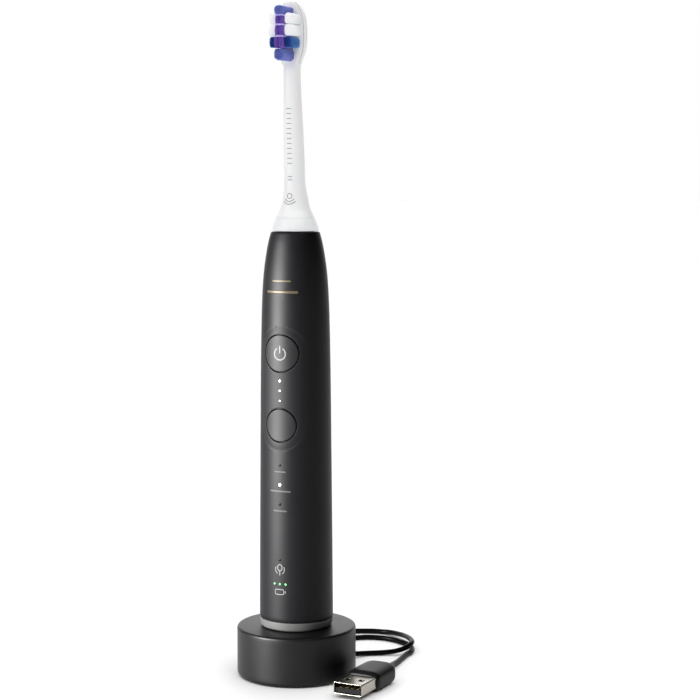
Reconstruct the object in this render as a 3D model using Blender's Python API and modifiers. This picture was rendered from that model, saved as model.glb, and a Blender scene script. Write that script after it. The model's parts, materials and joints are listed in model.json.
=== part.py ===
"""Electric toothbrush standing on its round USB charging base.

Every size below is in millimetres and is scaled to metres when a mesh is made.
The origin is on the floor at the charging base's axis, +Z is up, and the front of
the brush, with its buttons and bristles, faces -Y.
"""

import math

import bmesh
import bpy
from mathutils import Matrix, Vector

MM = 0.001
GAP = 0.3                     # clearance between pieces that touch
STEPS = 32                    # facets round the large turned pieces
HANDLE_STEPS = 36             # facets round the handle and what follows its surface
SMALL_STEPS = 20              # facets round the small turned pieces
MERGE = 0.00001

# Charging base
BASE_RADIUS = 23.5
BASE_HEIGHT = 19.6
BASE_WALL = 1.8
BASE_LIFT = 0.4               # the shell's rim clears the floor
BASE_TOP_ROUND = 1.0
BASE_FOOT_ROUND = 1.6
POST_RADIUS = 3.4
POST_HEIGHT = 7.4
POST_WALL = 0.8
FOOT_INNER, FOOT_OUTER = 17.0, 19.8

# Handle
HANDLE_BOTTOM = 23.5
HANDLE_TOP = 175.1
HANDLE_WALL = 1.5
HANDLE_STATIONS = (           # height, outer radius
    (23.5, 14.5), (53.0, 14.31), (85.0, 14.02), (109.0, 13.8), (125.0, 13.6), (141.0, 13.29),
    (152.5, 12.85), (160.5, 12.22), (167.0, 11.3), (171.8, 10.38), (174.6, 9.6),
)
SHAFT_HOLE_RADIUS = 5.4
SOCKET_RADIUS = 3.9
SOCKET_TOP = 28.6

# Controls on the front
PANEL_BOTTOM, PANEL_TOP = 90.8, 139.4
PANEL_HALF_WIDTH = 10.2
PANEL_DEPTH = 0.55
PANEL_PROUD = 0.12
POWER_HEIGHT, POWER_RADIUS = 128.8, 7.15
MODE_HEIGHT, MODE_RADIUS = 100.9, 6.4
BUTTON_PROUD = 0.25
BUTTON_THICKNESS = 1.75
BUTTON_TRAVEL = 0.5
SWITCH_FRONT = -9.8
BOARD_FRONT = -7.8
BOARD_THICKNESS = 1.0

# Drive
SHAFT_RADIUS = 1.95
SHAFT_BOTTOM, SHAFT_TOP = 150.8, 198.0

# Brush head
RING_BOTTOM = 175.5
NECK_BOTTOM = 180.6
BORE_TOP = 200.0
PLATE_FRONT = -4.6            # plane that the tufts stand out of
TOE_TUFT = (-1.7, 1.7, 257.5, 260.7)      # sides in x, then in height
CENTRE_TUFT = (-1.7, 1.7, 244.9, 257.1)
HEEL_TUFT = (-2.0, 2.0, 240.2, 244.5)
WHITE_TUFT = (2.2, 4.9, 249.5, 257.8)     # the right one; the left one mirrors it
BLUE_TUFT = (2.2, 4.3, 245.2, 249.1)
TOE_TIP, CENTRE_TIP, HEEL_TIP, WHITE_TIP, BLUE_TIP = -14.6, -14.4, -14.2, -13.6, -13.4
NECK_STATIONS = (             # height, half width, half depth, centre in Y
    (180.6, 7.75, 7.75, 0.0), (182.0, 7.05, 7.05, 0.0), (183.6, 6.3, 6.3, 0.0),
    (185.8, 5.6, 5.6, 0.0), (188.2, 5.1, 5.1, 0.0), (191.0, 4.6, 4.6, -0.1),
    (195.0, 4.2, 4.2, -0.35), (206.6, 4.15, 4.1, -1.0), (218.0, 3.88, 3.8, -1.65),
    (227.0, 3.55, 3.5, -2.1), (236.0, 3.45, 3.1, -2.5), (239.5, 3.9, 2.55, -2.3),
    (242.2, 4.9, 2.45, -2.15), (245.2, 5.8, 2.45, -2.1), (249.0, 6.2, 2.5, -2.1),
    (254.0, 6.1, 2.5, -2.1), (257.8, 5.35, 2.4, -2.15), (260.6, 4.1, 2.05, -2.4),
    (262.4, 2.6, 1.5, -2.9), (263.2, 1.2, 0.8, -3.1), (263.4, 0.4, 0.3, -3.1),
)
NECK_SIDES = 24

# Plug: its own axes run from its mouth back along +Y
PLUG_MOUTH = (34.15, -25.6, 3.95)
PLUG_TURN = math.radians(-2.2)
SHELL_WIDTH, SHELL_HEIGHT, SHELL_WALL = 12.0, 4.5, 0.3
SHELL_REACH = 12.0            # length that shows in front of the grip
SHELL_LENGTH = 16.0
GRIP_WIDTH, GRIP_HEIGHT, GRIP_LENGTH = 14.0, 7.9, 19.0

# Cord
CORD_DIAMETER = 2.1
CORD_EXIT_ANGLE = math.radians(67.5)
CORD_EXIT_HEIGHT = 2.2
RELIEF_ROOT, RELIEF_TIP = 20.9, 29.0      # distances from the base's axis
NOTCH_HALF_WIDTH = 2.55       # opening in the base's wall for the cord
COIL_CENTRE = (-20.1, 40.4)
COIL_INNER_TURN, COIL_OUTER_TURN = 7.2, 13.6   # centre lines of its turns
COIL_LAYERS = 4
CORD_NEAR = (
    (11.2, 27.0, 2.2), (12.3, 29.3, 1.6), (15.4, 33.8, 1.1), (19.4, 36.3, 1.1), (22.6, 38.2, 1.25),
    (25.5, 39.4, 1.7), (28.0, 41.2, 2.4), (29.5, 43.7, 3.1), (29.7, 46.7, 3.6), (28.6, 50.3, 3.6),
    (25.1, 55.7, 3.2), (20.6, 61.1, 2.5), (16.0, 64.9, 1.9), (11.5, 67.6, 1.4), (7.5, 68.3, 1.1),
    (3.6, 67.6, 1.1), (-0.6, 66.0, 1.1), (-4.4, 64.0, 1.15), (-7.9, 62.0, 1.5), (-11.2, 60.2, 2.5),
    (-14.6, 58.4, 4.3), (-18.0, 56.6, 6.1),
)
CORD_FAR = (
    (-4.6, 45.8, 1.1), (-3.4, 49.0, 1.1), (-1.2, 52.3, 1.1), (3.9, 56.6, 1.1), (7.8, 58.2, 1.1),
    (12.2, 58.8, 1.1), (16.4, 58.2, 1.1), (20.5, 56.6, 1.1), (24.2, 54.5, 1.1), (27.4, 51.6, 1.1),
    (29.8, 47.7, 1.1), (31.0, 43.4, 1.1), (31.0, 38.8, 1.15), (31.5, 32.8, 1.15), (32.2, 26.6, 1.3),
    (32.7, 20.6, 1.8), (33.6, 14.6, 2.7), (34.7, 9.6, 3.6), (35.36, 5.7, 3.95),
)

PARTS = bpy.data.collections.new("electric_toothbrush")
CUTTERS = bpy.data.collections.new("toothbrush_cutters")
MATERIALS = {}


# ---------------------------------------------------------------- scene and materials

def clear_scene():
    """Remove every object and hang the two collections on the scene."""
    for item in list(bpy.data.objects):
        bpy.data.objects.remove(item, do_unlink=True)
    bpy.context.scene.collection.children.link(PARTS)
    bpy.context.scene.collection.children.link(CUTTERS)


def finish(name, colour, roughness, metallic=0.0):
    """A plain Principled material, made once for each name."""
    if name not in MATERIALS:
        made = bpy.data.materials.new(name)
        made.use_nodes = True
        shader = made.node_tree.nodes["Principled BSDF"]
        shader.inputs["Base Color"].default_value = (*colour, 1.0)
        shader.inputs["Roughness"].default_value = roughness
        shader.inputs["Metallic"].default_value = metallic
        made.diffuse_color = (*colour, 1.0)
        MATERIALS[name] = made
    return MATERIALS[name]


def black_plastic():
    return finish("black_plastic", (0.022, 0.022, 0.024), 0.42)


def soft_black():
    return finish("soft_black_rubber", (0.028, 0.028, 0.03), 0.6)


def grey_plastic():
    return finish("grey_plastic", (0.24, 0.24, 0.25), 0.4)


def white_plastic():
    return finish("white_plastic", (0.86, 0.87, 0.88), 0.3)


def clear_plastic():
    return finish("light_guide_plastic", (0.8, 0.85, 0.86), 0.15)


def steel():
    return finish("steel", (0.62, 0.61, 0.6), 0.28, 1.0)


def copper():
    return finish("copper_wire", (0.72, 0.36, 0.2), 0.35, 1.0)


def ferrite():
    return finish("ferrite", (0.07, 0.07, 0.075), 0.7)


def board_green():
    return finish("board_green", (0.03, 0.16, 0.08), 0.5)


# ---------------------------------------------------------------- curves in numbers

def through(points, per_span):
    """Points along a smooth Catmull-Rom curve that passes through the given ones."""
    ends = [Vector(p) for p in points]
    ends = [2 * ends[0] - ends[1], *ends, 2 * ends[-1] - ends[-2]]
    made = []
    for a, b, c, d in zip(ends, ends[1:], ends[2:], ends[3:]):
        for step in range(per_span):
            t = step / per_span
            made.append(0.5 * (2 * b + (c - a) * t + (2 * a - 5 * b + 4 * c - d) * t * t
                               + (3 * b - a - 3 * c + d) * t ** 3))
    made.append(ends[-2])
    return made


def evenly(points, spacing):
    """The same smooth curve, walked in equal steps of about the given length."""
    fine = through(points, 16)
    length = sum((b - a).length for a, b in zip(fine, fine[1:]))
    count = max(2, round(length / spacing))
    step = length / count
    made, travelled = [fine[0]], 0.0
    for a, b in zip(fine, fine[1:]):
        span = (b - a).length
        while len(made) < count and travelled + span >= step * len(made):
            made.append(a.lerp(b, (step * len(made) - travelled) / span))
        travelled += span
    made.append(fine[-1])
    return made


def handle_radius(height):
    """Outer radius of the handle at a height: a cubic through the stations."""
    stations = HANDLE_STATIONS
    height = min(max(height, stations[0][0]), stations[-1][0])
    upper = next(i for i in range(1, len(stations)) if height <= stations[i][0])
    (z0, r0), (z1, r1) = stations[upper - 1], stations[upper]
    before = stations[max(upper - 2, 0)]
    after = stations[min(upper + 1, len(stations) - 1)]
    slope0 = (r1 - before[1]) / (z1 - before[0])
    slope1 = (after[1] - r0) / (after[0] - z0)
    span = z1 - z0
    t = (height - z0) / span
    return ((2 * t ** 3 - 3 * t * t + 1) * r0 + (t ** 3 - 2 * t * t + t) * span * slope0
            + (3 * t * t - 2 * t ** 3) * r1 + (t ** 3 - t * t) * span * slope1)


def handle_band(bottom, top, outer_offset, inner_offset, count):
    """Closed profile of a band that follows the handle's surface between two heights."""
    heights = [bottom + (top - bottom) * i / count for i in range(count + 1)]
    outer = [(handle_radius(z) + outer_offset, z) for z in reversed(heights)]
    inner = [(handle_radius(z) + inner_offset, z) for z in heights]
    return outer + inner


def arc(centre, radius, start, end, count):
    """Points (r, z) on an arc, its angles in degrees from +r towards +z."""
    angles = [math.radians(start + (end - start) * i / count) for i in range(count + 1)]
    return [(centre[0] + radius * math.cos(a), centre[1] + radius * math.sin(a)) for a in angles]


def stadium(half_width, low, high, count=8):
    """Outline (x, z) of a tall slot with round ends between two heights."""
    ends = arc((0, high - half_width), half_width, 0, 180, count)
    return ends + arc((0, low + half_width), half_width, 180, 360, count)


def rounded_box_outline(x0, x1, y0, y1, radii, count=3):
    """Outline with its own radius at each corner: x1 y1, x0 y1, x0 y0, x1 y0."""
    corners = ((x1, y1, -1, -1), (x0, y1, 1, -1), (x0, y0, 1, 1), (x1, y0, -1, 1))
    outline = []
    for index, ((x, y, sx, sy), radius) in enumerate(zip(corners, radii)):
        centre = (x + sx * radius, y + sy * radius)
        outline += arc(centre, radius, 90 * index, 90 * index + 90, count)
    return outline


# ---------------------------------------------------------------- making objects

def place(name, mesh, material, parent=None, cutter=False):
    """Put a mesh in its collection as a named object."""
    item = bpy.data.objects.new(name, mesh)
    (CUTTERS if cutter else PARTS).objects.link(item)
    if cutter:
        item.hide_render = True
        item.display_type = "WIRE"
    if material:
        mesh.materials.append(material)
    if parent:
        item.parent = parent
    return item


def axis_empty(name, place_mm, turn=0.0):
    """An empty that stands for a joint's axis or a local frame."""
    item = bpy.data.objects.new(name, None)
    item.empty_display_size = 0.01
    item.location = Vector(place_mm) * MM
    item.rotation_euler = (0.0, 0.0, turn)
    PARTS.objects.link(item)
    return item


def smooth(item):
    """Shade smooth, with edges over 35 degrees kept sharp."""
    item.data.shade_smooth()
    item.data.set_sharp_from_angle(angle=math.radians(35))
    return item


def turned(name, profile, material, parent=None, steps=STEPS, cutter=False):
    """A turned piece. A profile that starts and ends on the axis closes there, any other
    closes on itself. It runs down the outer side first."""
    mesh = bpy.data.meshes.new(name)
    points = [(r * MM, 0.0, z * MM) for r, z in profile]
    edges = [(i, i + 1) for i in range(len(points) - 1)]
    if profile[0][0] > 0:
        edges.append((len(points) - 1, 0))
    mesh.from_pydata(points, edges, [])
    item = place(name, mesh, material, parent, cutter)
    screw = item.modifiers.new("turn", "SCREW")
    screw.angle = math.tau
    screw.steps = screw.render_steps = steps
    screw.use_merge_vertices = True
    screw.merge_threshold = MERGE
    screw.use_smooth_shade = True
    return item


def ring(name, inner, outer, low, high, material, parent=None, steps=SMALL_STEPS, cutter=False):
    """A turned piece with a rectangular section."""
    profile = [(outer, high), (outer, low), (inner, low), (inner, high)]
    if inner == 0:
        profile = [(0, high), (outer, high), (outer, low), (0, low)]
    return turned(name, profile, material, parent, steps, cutter)


def box(name, low, high, material, parent=None, round_edge=0.0, cutter=False):
    """A box between two corners, with an optional small round on its edges."""
    mesh = bpy.data.meshes.new(name)
    shape = bmesh.new()
    bmesh.ops.create_cube(shape, size=1.0)
    size = [(b - a) * MM for a, b in zip(low, high)]
    middle = Vector([(a + b) / 2 * MM for a, b in zip(low, high)])
    bmesh.ops.scale(shape, vec=size, verts=shape.verts)
    bmesh.ops.translate(shape, vec=middle, verts=shape.verts)
    shape.to_mesh(mesh)
    shape.free()
    item = place(name, mesh, material, parent, cutter)
    if round_edge:
        soften(item, round_edge)
    return item


def soften(item, width, segments=2):
    """Round an object's edges by a width in millimetres."""
    bevel = item.modifiers.new("round", "BEVEL")
    bevel.width = width * MM
    bevel.segments = segments
    bevel.limit_method = "ANGLE"
    bevel.angle_limit = math.radians(40)
    return item


def rod_y(name, x, z, radius, y0, y1, material=None, parent=None, sides=32, cutter=False):
    """A round bar along Y."""
    mesh = bpy.data.meshes.new(name)
    shape = bmesh.new()
    bmesh.ops.create_cone(shape, cap_ends=True, segments=sides, radius1=radius * MM,
                          radius2=radius * MM, depth=(y1 - y0) * MM)
    bmesh.ops.rotate(shape, verts=shape.verts, matrix=Matrix.Rotation(math.pi / 2, 3, "X"))
    bmesh.ops.translate(shape, verts=shape.verts, vec=(x * MM, (y0 + y1) / 2 * MM, z * MM))
    shape.to_mesh(mesh)
    shape.free()
    return place(name, mesh, material, parent, cutter)


def outline_solid(name, outline, low, high, axis, material=None, parent=None, cutter=False):
    """A flat outline given a thickness. axis Y takes (x, z) outlines, axis Z takes (x, y)."""
    curve = bpy.data.curves.new(name + "_outline", "CURVE")
    curve.dimensions = "2D"
    curve.fill_mode = "BOTH"
    curve.extrude = (high - low) / 2 * MM
    spline = curve.splines.new("POLY")
    spline.points.add(len(outline) - 1)
    for point, (a, b) in zip(spline.points, outline):
        point.co = (a * MM, b * MM, 0.0, 1.0)
    spline.use_cyclic_u = True
    middle = (low + high) / 2 * MM
    holder = bpy.data.objects.new(name + "_curve", curve)
    PARTS.objects.link(holder)
    mesh = bpy.data.meshes.new_from_object(holder.evaluated_get(bpy.context.evaluated_depsgraph_get()))
    bpy.data.objects.remove(holder)
    shape = bmesh.new()
    shape.from_mesh(mesh)
    bmesh.ops.remove_doubles(shape, verts=shape.verts, dist=MERGE)
    if axis == "Y":
        bmesh.ops.rotate(shape, verts=shape.verts, matrix=Matrix.Rotation(math.pi / 2, 3, "X"))
        bmesh.ops.translate(shape, verts=shape.verts, vec=(0.0, middle, 0.0))
    else:
        bmesh.ops.translate(shape, verts=shape.verts, vec=(0.0, 0.0, middle))
    bmesh.ops.recalc_face_normals(shape, faces=shape.faces)
    shape.to_mesh(mesh)
    shape.free()
    mesh.name = name
    return place(name, mesh, material, parent, cutter)


def boolean(item, operation, other):
    """Add one Boolean modifier, with the exact solver."""
    cut = item.modifiers.new(operation.lower(), "BOOLEAN")
    cut.operation = operation
    cut.object = other
    cut.solver = "EXACT"
    return item


def cut(item, *others):
    for other in others:
        boolean(item, "DIFFERENCE", other)
    return item


def join(item, *others):
    for other in others:
        boolean(item, "UNION", other)
    return item


def tube(name, points, diameter, material, spacing):
    """A cord: a round tube along the smooth curve through the points."""
    curve = bpy.data.curves.new(name, "CURVE")
    curve.dimensions = "3D"
    curve.bevel_depth = diameter / 2 * MM
    curve.bevel_resolution = 2
    curve.use_fill_caps = True
    walked = evenly(points, spacing)
    spline = curve.splines.new("POLY")
    spline.points.add(len(walked) - 1)
    for point, co in zip(spline.points, walked):
        point.co = (*(co * MM), 1.0)
    item = bpy.data.objects.new(name, curve)
    curve.materials.append(material)
    PARTS.objects.link(item)
    return item


def loft(name, sections, material, parent=None):
    """A closed skin over a row of equal point rings, with a fan at each end."""
    shape = bmesh.new()
    rows = [[shape.verts.new(Vector(p) * MM) for p in section] for section in sections]
    sides = len(rows[0])
    for lower, upper in zip(rows, rows[1:]):
        for i in range(sides):
            j = (i + 1) % sides
            shape.faces.new((lower[i], lower[j], upper[j], upper[i]))
    shape.faces.new(list(reversed(rows[0])))
    shape.faces.new(rows[-1])
    bmesh.ops.recalc_face_normals(shape, faces=shape.faces)
    mesh = bpy.data.meshes.new(name)
    shape.to_mesh(mesh)
    shape.free()
    return place(name, mesh, material, parent)


# ---------------------------------------------------------------- charging base

def charger_shell():
    """Round shell with the charging post on top and a notch for the cord."""
    inner = BASE_RADIUS - BASE_WALL
    roof = BASE_HEIGHT - BASE_WALL
    post_top = BASE_HEIGHT + POST_HEIGHT
    post_inner = POST_RADIUS - POST_WALL
    profile = [(0, post_top)]
    profile += arc((POST_RADIUS - 0.7, post_top - 0.7), 0.7, 90, 0, 3)
    profile += [(POST_RADIUS, BASE_HEIGHT)]
    profile += arc((BASE_RADIUS - BASE_TOP_ROUND, BASE_HEIGHT - BASE_TOP_ROUND), BASE_TOP_ROUND, 90, 0, 3)
    profile += arc((BASE_RADIUS - BASE_FOOT_ROUND, BASE_LIFT + BASE_FOOT_ROUND), BASE_FOOT_ROUND, 0, -80, 3)
    profile += [(inner, BASE_LIFT), (inner, roof), (post_inner, roof), (post_inner, post_top - POST_WALL)]
    profile += [(0, post_top - POST_WALL)]
    shell = turned("charger_shell", profile, black_plastic(), steps=HANDLE_STEPS)
    crown = arc((0, CORD_EXIT_HEIGHT), NOTCH_HALF_WIDTH, 0, 180, 8)
    notch = [(NOTCH_HALF_WIDTH, -1.0)] + crown + [(-NOTCH_HALF_WIDTH, -1.0)]
    opening = outline_solid("cord_notch", notch, RELIEF_ROOT - 2, BASE_RADIUS + 3, "Y", cutter=True)
    opening.rotation_euler.z = CORD_EXIT_ANGLE - math.pi / 2
    return smooth(cut(shell, opening))


def charger_base_plate():
    """Disc that closes the base from below, with a groove for the foot ring."""
    outer = BASE_RADIUS - BASE_WALL - GAP
    profile = [(0, 2.8), (outer, 2.8), (outer, 0.8), (FOOT_OUTER + GAP, 0.8), (FOOT_OUTER + GAP, 1.6),
               (FOOT_INNER - GAP, 1.6), (FOOT_INNER - GAP, 0.8), (0, 0.8)]
    plate = turned("charger_base_plate", profile, black_plastic())
    relief_room = box("relief_room", (-3.0, RELIEF_ROOT - 3.2, -1), (3.0, BASE_RADIUS, 6), None, cutter=True)
    relief_room.rotation_euler.z = CORD_EXIT_ANGLE - math.pi / 2
    return smooth(cut(plate, relief_room))


def foot_ring():
    """Rubber ring that the whole thing stands on."""
    profile = [(FOOT_OUTER, 1.3), (FOOT_OUTER, 0.3), (FOOT_OUTER - 0.3, 0), (FOOT_INNER + 0.3, 0),
               (FOOT_INNER, 0.3), (FOOT_INNER, 1.3)]
    item = turned("foot_ring", profile, soft_black())
    room = box("foot_room", (-3.4, RELIEF_ROOT - 3.6, -1), (3.4, BASE_RADIUS, 6), None, cutter=True)
    room.rotation_euler.z = CORD_EXIT_ANGLE - math.pi / 2
    return smooth(cut(item, room))


def charger_inside():
    """Ferrite core that rises into the post, the coil round it, and the circuit board."""
    core = [(0, 25.6), (2.2, 25.6), (2.2, 5.4), (10.4, 5.4), (10.4, 3.6), (0, 3.6)]
    smooth(turned("charger_ferrite_core", core, ferrite(), steps=SMALL_STEPS))
    smooth(ring("charger_coil", 2.6, 9.2, 5.8, 13.2, copper()))
    board = ring("charger_circuit_board", 11.4, 20.6, 6.2, 7.4, board_green())
    cap = ring("board_capacitor", 0, 2.4, 7.0, 13.0, None, steps=16, cutter=True)
    cap.location = (-16.0 * MM, 0.0, 0.0)
    chip = box("board_chip", (13.5, -3.0, 7.0), (18.5, 3.0, 8.8), None, cutter=True)
    join(board, cap, chip)


def cord_strain_relief():
    """Tapered sleeve with a flange inside the wall, along the cord's way out."""
    reach, root = RELIEF_TIP, RELIEF_ROOT
    profile = [(0, reach), (1.45, reach), (1.55, reach - 0.4), (2.15, BASE_RADIUS + 0.3),
               (2.2, root + 0.4), (2.75, root + 0.4), (2.75, root - 1.6), (0, root - 1.6)]
    item = turned("cord_strain_relief", profile, soft_black(), steps=20)
    item.rotation_euler = (-math.pi / 2, 0.0, CORD_EXIT_ANGLE - math.pi / 2)
    item.location.z = CORD_EXIT_HEIGHT * MM
    foot = box("relief_foot_trim", (-4, -4, -8), (4, 4, 0.1), None, cutter=True)
    foot.location = (math.cos(CORD_EXIT_ANGLE) * root * MM, math.sin(CORD_EXIT_ANGLE) * root * MM, 0)
    return smooth(cut(item, foot))


def cord():
    """The two free stretches, and the solid that the coiled stretch fills."""
    black = finish("cord_black", (0.015, 0.015, 0.016), 0.3)
    tube("charging_cord_near", CORD_NEAR, CORD_DIAMETER, black, 2 * CORD_DIAMETER)
    tube("charging_cord_far", CORD_FAR, CORD_DIAMETER, black, 2.2 * CORD_DIAMETER)
    half = CORD_DIAMETER / 2 + 0.1
    coil = ring("charging_cord_coil", COIL_INNER_TURN - half, COIL_OUTER_TURN + half, 0.05,
                COIL_LAYERS * CORD_DIAMETER + 0.15, black, steps=STEPS)
    coil.location = (COIL_CENTRE[0] * MM, COIL_CENTRE[1] * MM, 0.0)
    smooth(coil)


# ---------------------------------------------------------------- plug

def plug():
    """Grip, hollow metal shell with its windows, tongue and four contacts."""
    frame = axis_empty("plug_frame", PLUG_MOUTH, PLUG_TURN)
    half = GRIP_WIDTH / 2
    rear = SHELL_REACH + GRIP_LENGTH
    outline = rounded_box_outline(-half, half, SHELL_REACH, rear, (4.8, 4.8, 2.8, 2.8), 4)
    grip = outline_solid("usb_grip", outline, -GRIP_HEIGHT / 2, GRIP_HEIGHT / 2, "Z", black_plastic(), frame)
    soften(grip, 2.3, 3)
    pocket = box("shell_pocket", (-SHELL_WIDTH / 2 - GAP, 0, -SHELL_HEIGHT / 2 - GAP),
                 (SHELL_WIDTH / 2 + GAP, SHELL_LENGTH + GAP, SHELL_HEIGHT / 2 + GAP), None, frame,
                 cutter=True)
    smooth(cut(grip, pocket))

    half_w, half_h, wall = SHELL_WIDTH / 2, SHELL_HEIGHT / 2, SHELL_WALL
    shell = box("usb_shell", (-half_w, 0, -half_h), (half_w, SHELL_LENGTH, half_h), steel(), frame, 0.35)
    inside = box("shell_inside", (-half_w + wall, -1, -half_h + wall),
                 (half_w - wall, SHELL_LENGTH + 1, half_h - wall), None, frame, cutter=True)
    cut(shell, inside)
    for side, x in (("left", -3.0), ("right", 3.0)):
        window = box("shell_window_" + side, (x - 1.15, 4.6, -half_h - 1), (x + 1.15, 7.1, half_h + 1),
                     None, frame, cutter=True)
        cut(shell, window)

    floor = -half_h + wall + GAP
    tongue = box("usb_tongue", (-5.4, 0.6, floor), (5.4, SHELL_LENGTH - 0.2, floor + 1.7),
                 black_plastic(), frame)
    for index in range(4):
        x = (index - 1.5) * 2.4
        slot = box(f"contact_slot_{index + 1}", (x - 0.85, 1.2, floor + 1.15), (x + 0.85, 9.2, floor + 3),
                   None, frame, cutter=True)
        cut(tongue, slot)
        box(f"usb_contact_{index + 1}", (x - 0.55, 1.5, floor + 1.45), (x + 0.55, 8.9, floor + 1.75),
            finish("contact_gold", (0.85, 0.62, 0.28), 0.3, 1.0), frame)


# ---------------------------------------------------------------- handle

def handle_housing():
    """One-piece outer shell, recessed for the button panel and open for the shaft."""
    heights = [174.6, 173.2, 171.6, 169.0, 166.0, 162.0, 157.5, 152.5, 147.0, 141.0, 125.0, 109.0,
               85.0, 53.0, 24.0]
    profile = [(SHAFT_HOLE_RADIUS, HANDLE_TOP), (9.1, HANDLE_TOP), (9.42, HANDLE_TOP - 0.14)]
    profile += [(handle_radius(z), z) for z in heights]
    profile += [(14.2, HANDLE_BOTTOM), (13.1, HANDLE_BOTTOM)]
    inner_heights = [31.0, 85.0, 125.0, 141.0, 152.5, 160.5, 167.0]
    profile += [(handle_radius(z) - HANDLE_WALL, z) for z in inner_heights]
    profile += [(8.6, 170.6), (6.9, 172.7), (SHAFT_HOLE_RADIUS, 172.7)]
    housing = turned("handle_housing", profile, black_plastic(), steps=HANDLE_STEPS)

    recess = turned("panel_recess", handle_band(PANEL_BOTTOM - 2, PANEL_TOP + 2, 3, -PANEL_DEPTH - GAP, 6),
                    None, steps=HANDLE_STEPS, cutter=True)
    recess_outline = stadium(PANEL_HALF_WIDTH + GAP, PANEL_BOTTOM - GAP, PANEL_TOP + GAP)
    boolean(recess, "INTERSECT", outline_solid("recess_outline", recess_outline, -22, -5, "Y", cutter=True))
    holes = [rod_y(name + "_hole", 0, height, radius + GAP, -22, -4, cutter=True)
             for name, height, radius in (("power", POWER_HEIGHT, POWER_RADIUS),
                                          ("mode", MODE_HEIGHT, MODE_RADIUS))]
    smooth(cut(housing, recess, *holes))

    panel = turned("button_panel", handle_band(PANEL_BOTTOM - 1, PANEL_TOP + 1, PANEL_PROUD, -PANEL_DEPTH, 5),
                   soft_black(), steps=HANDLE_STEPS)
    boolean(panel, "INTERSECT",
            outline_solid("panel_outline", stadium(PANEL_HALF_WIDTH, PANEL_BOTTOM, PANEL_TOP), -20, -6, "Y",
                          cutter=True))
    smooth(cut(panel, *holes))


def button(name, height, radius):
    """Button cap that follows the handle's surface, with a stem behind it."""
    axis = axis_empty(name + "_axis", (0.0, -handle_radius(height), height))
    cap = turned(name, handle_band(height - radius - 1, height + radius + 1, BUTTON_PROUD,
                                   BUTTON_PROUD - BUTTON_THICKNESS, 3), soft_black(), steps=HANDLE_STEPS)
    edge = rod_y(name + "_edge", 0, height, radius, -20, -7, cutter=True)
    boolean(cap, "INTERSECT", edge)
    inner = -handle_radius(height) - BUTTON_PROUD + BUTTON_THICKNESS
    stem_tip = SWITCH_FRONT - BUTTON_TRAVEL - GAP
    stem = rod_y(name + "_stem", 0, height, 1.5, inner - 0.5, stem_tip, sides=12, cutter=True)
    join(cap, stem)
    for item in (cap, edge, stem):
        item.parent = axis
        item.matrix_parent_inverse = Matrix.Translation(axis.location).inverted()
    smooth(cap)


def end_cap():
    """Grey ring at the foot of the handle, with the charging socket in its middle."""
    rim = HANDLE_BOTTOM - GAP
    bottom = BASE_HEIGHT + GAP
    profile = [(0, SOCKET_TOP + 1.0), (4.8, SOCKET_TOP + 1.0), (4.8, 21.5), (9.2, 21.5), (9.2, 27.2),
               (12.6, 27.2), (12.6, 26.2), (11.3, 26.2), (11.3, 24.6), (12.6, 24.6), (12.6, rim)]
    profile += [(14.3, rim), (14.42, rim - 0.15), (14.1, bottom + 0.35), (13.75, bottom)]
    profile += [(SOCKET_RADIUS + 0.4, bottom), (SOCKET_RADIUS, bottom + 0.4), (SOCKET_RADIUS, SOCKET_TOP)]
    profile += [(0, SOCKET_TOP)]
    smooth(turned("end_cap", profile, grey_plastic(), steps=HANDLE_STEPS))
    seal = arc((12.2, 25.4), 0.5, 90, -270, 6)[:-1]
    smooth(turned("end_cap_seal", seal, soft_black(), steps=SMALL_STEPS))
    smooth(ring("receiving_coil", 5.2, 8.8, 21.9, 26.6, copper()))


def internal_frame():
    """Spine with three cross plates that holds the battery, the board and the motor."""
    frame = box("internal_frame", (-4.0, 8.8, 30.4), (4.0, 10.4, 139.4), grey_plastic())
    for name, low, high, radius in (("foot", 30.2, 31.8, 12.1), ("middle", 85.2, 87.0, 11.7),
                                    ("head", 138.0, 139.6, 10.9)):
        join(frame, ring(f"frame_{name}_plate", 0, radius, low, high, None, steps=SMALL_STEPS, cutter=True))
    slot = box("frame_board_slot", (-14, -14, 32.0), (14, BOARD_FRONT + BOARD_THICKNESS + 0.5, 137.8),
               None, cutter=True)
    return cut(frame, slot)


def electronics():
    """Battery, circuit board, the two switches and the light guides."""
    battery = [(0, 83.6), (2.6, 83.6), (2.6, 83.0), (6.4, 83.0), (6.9, 82.5), (6.9, 32.9),
               (6.4, 32.4), (0, 32.4)]
    sleeve = finish("battery_sleeve", (0.12, 0.3, 0.42), 0.35)
    cell = turned("battery_cell", battery, sleeve, steps=SMALL_STEPS)
    cell.location.y = 1.6 * MM
    smooth(cell)
    back = BOARD_FRONT + BOARD_THICKNESS
    board = box("circuit_board", (-7.6, BOARD_FRONT, 32.4), (7.6, back, 137.5), board_green())
    chip = box("control_chip", (-3.0, back - 0.3, 104.0), (3.0, back + 1.0, 110.0), None, cutter=True)
    choke = ring("power_choke", 0, 2.6, 90.0, 96.0, None, steps=16, cutter=True)
    choke.location.y = (back + 2.2) * MM
    join(board, chip, choke)
    for name, height in (("power_switch", POWER_HEIGHT), ("mode_switch", MODE_HEIGHT)):
        box(name, (-2.6, SWITCH_FRONT, height - 2.6), (2.6, BOARD_FRONT - GAP, height + 2.6), steel(),
            round_edge=0.3)


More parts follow.
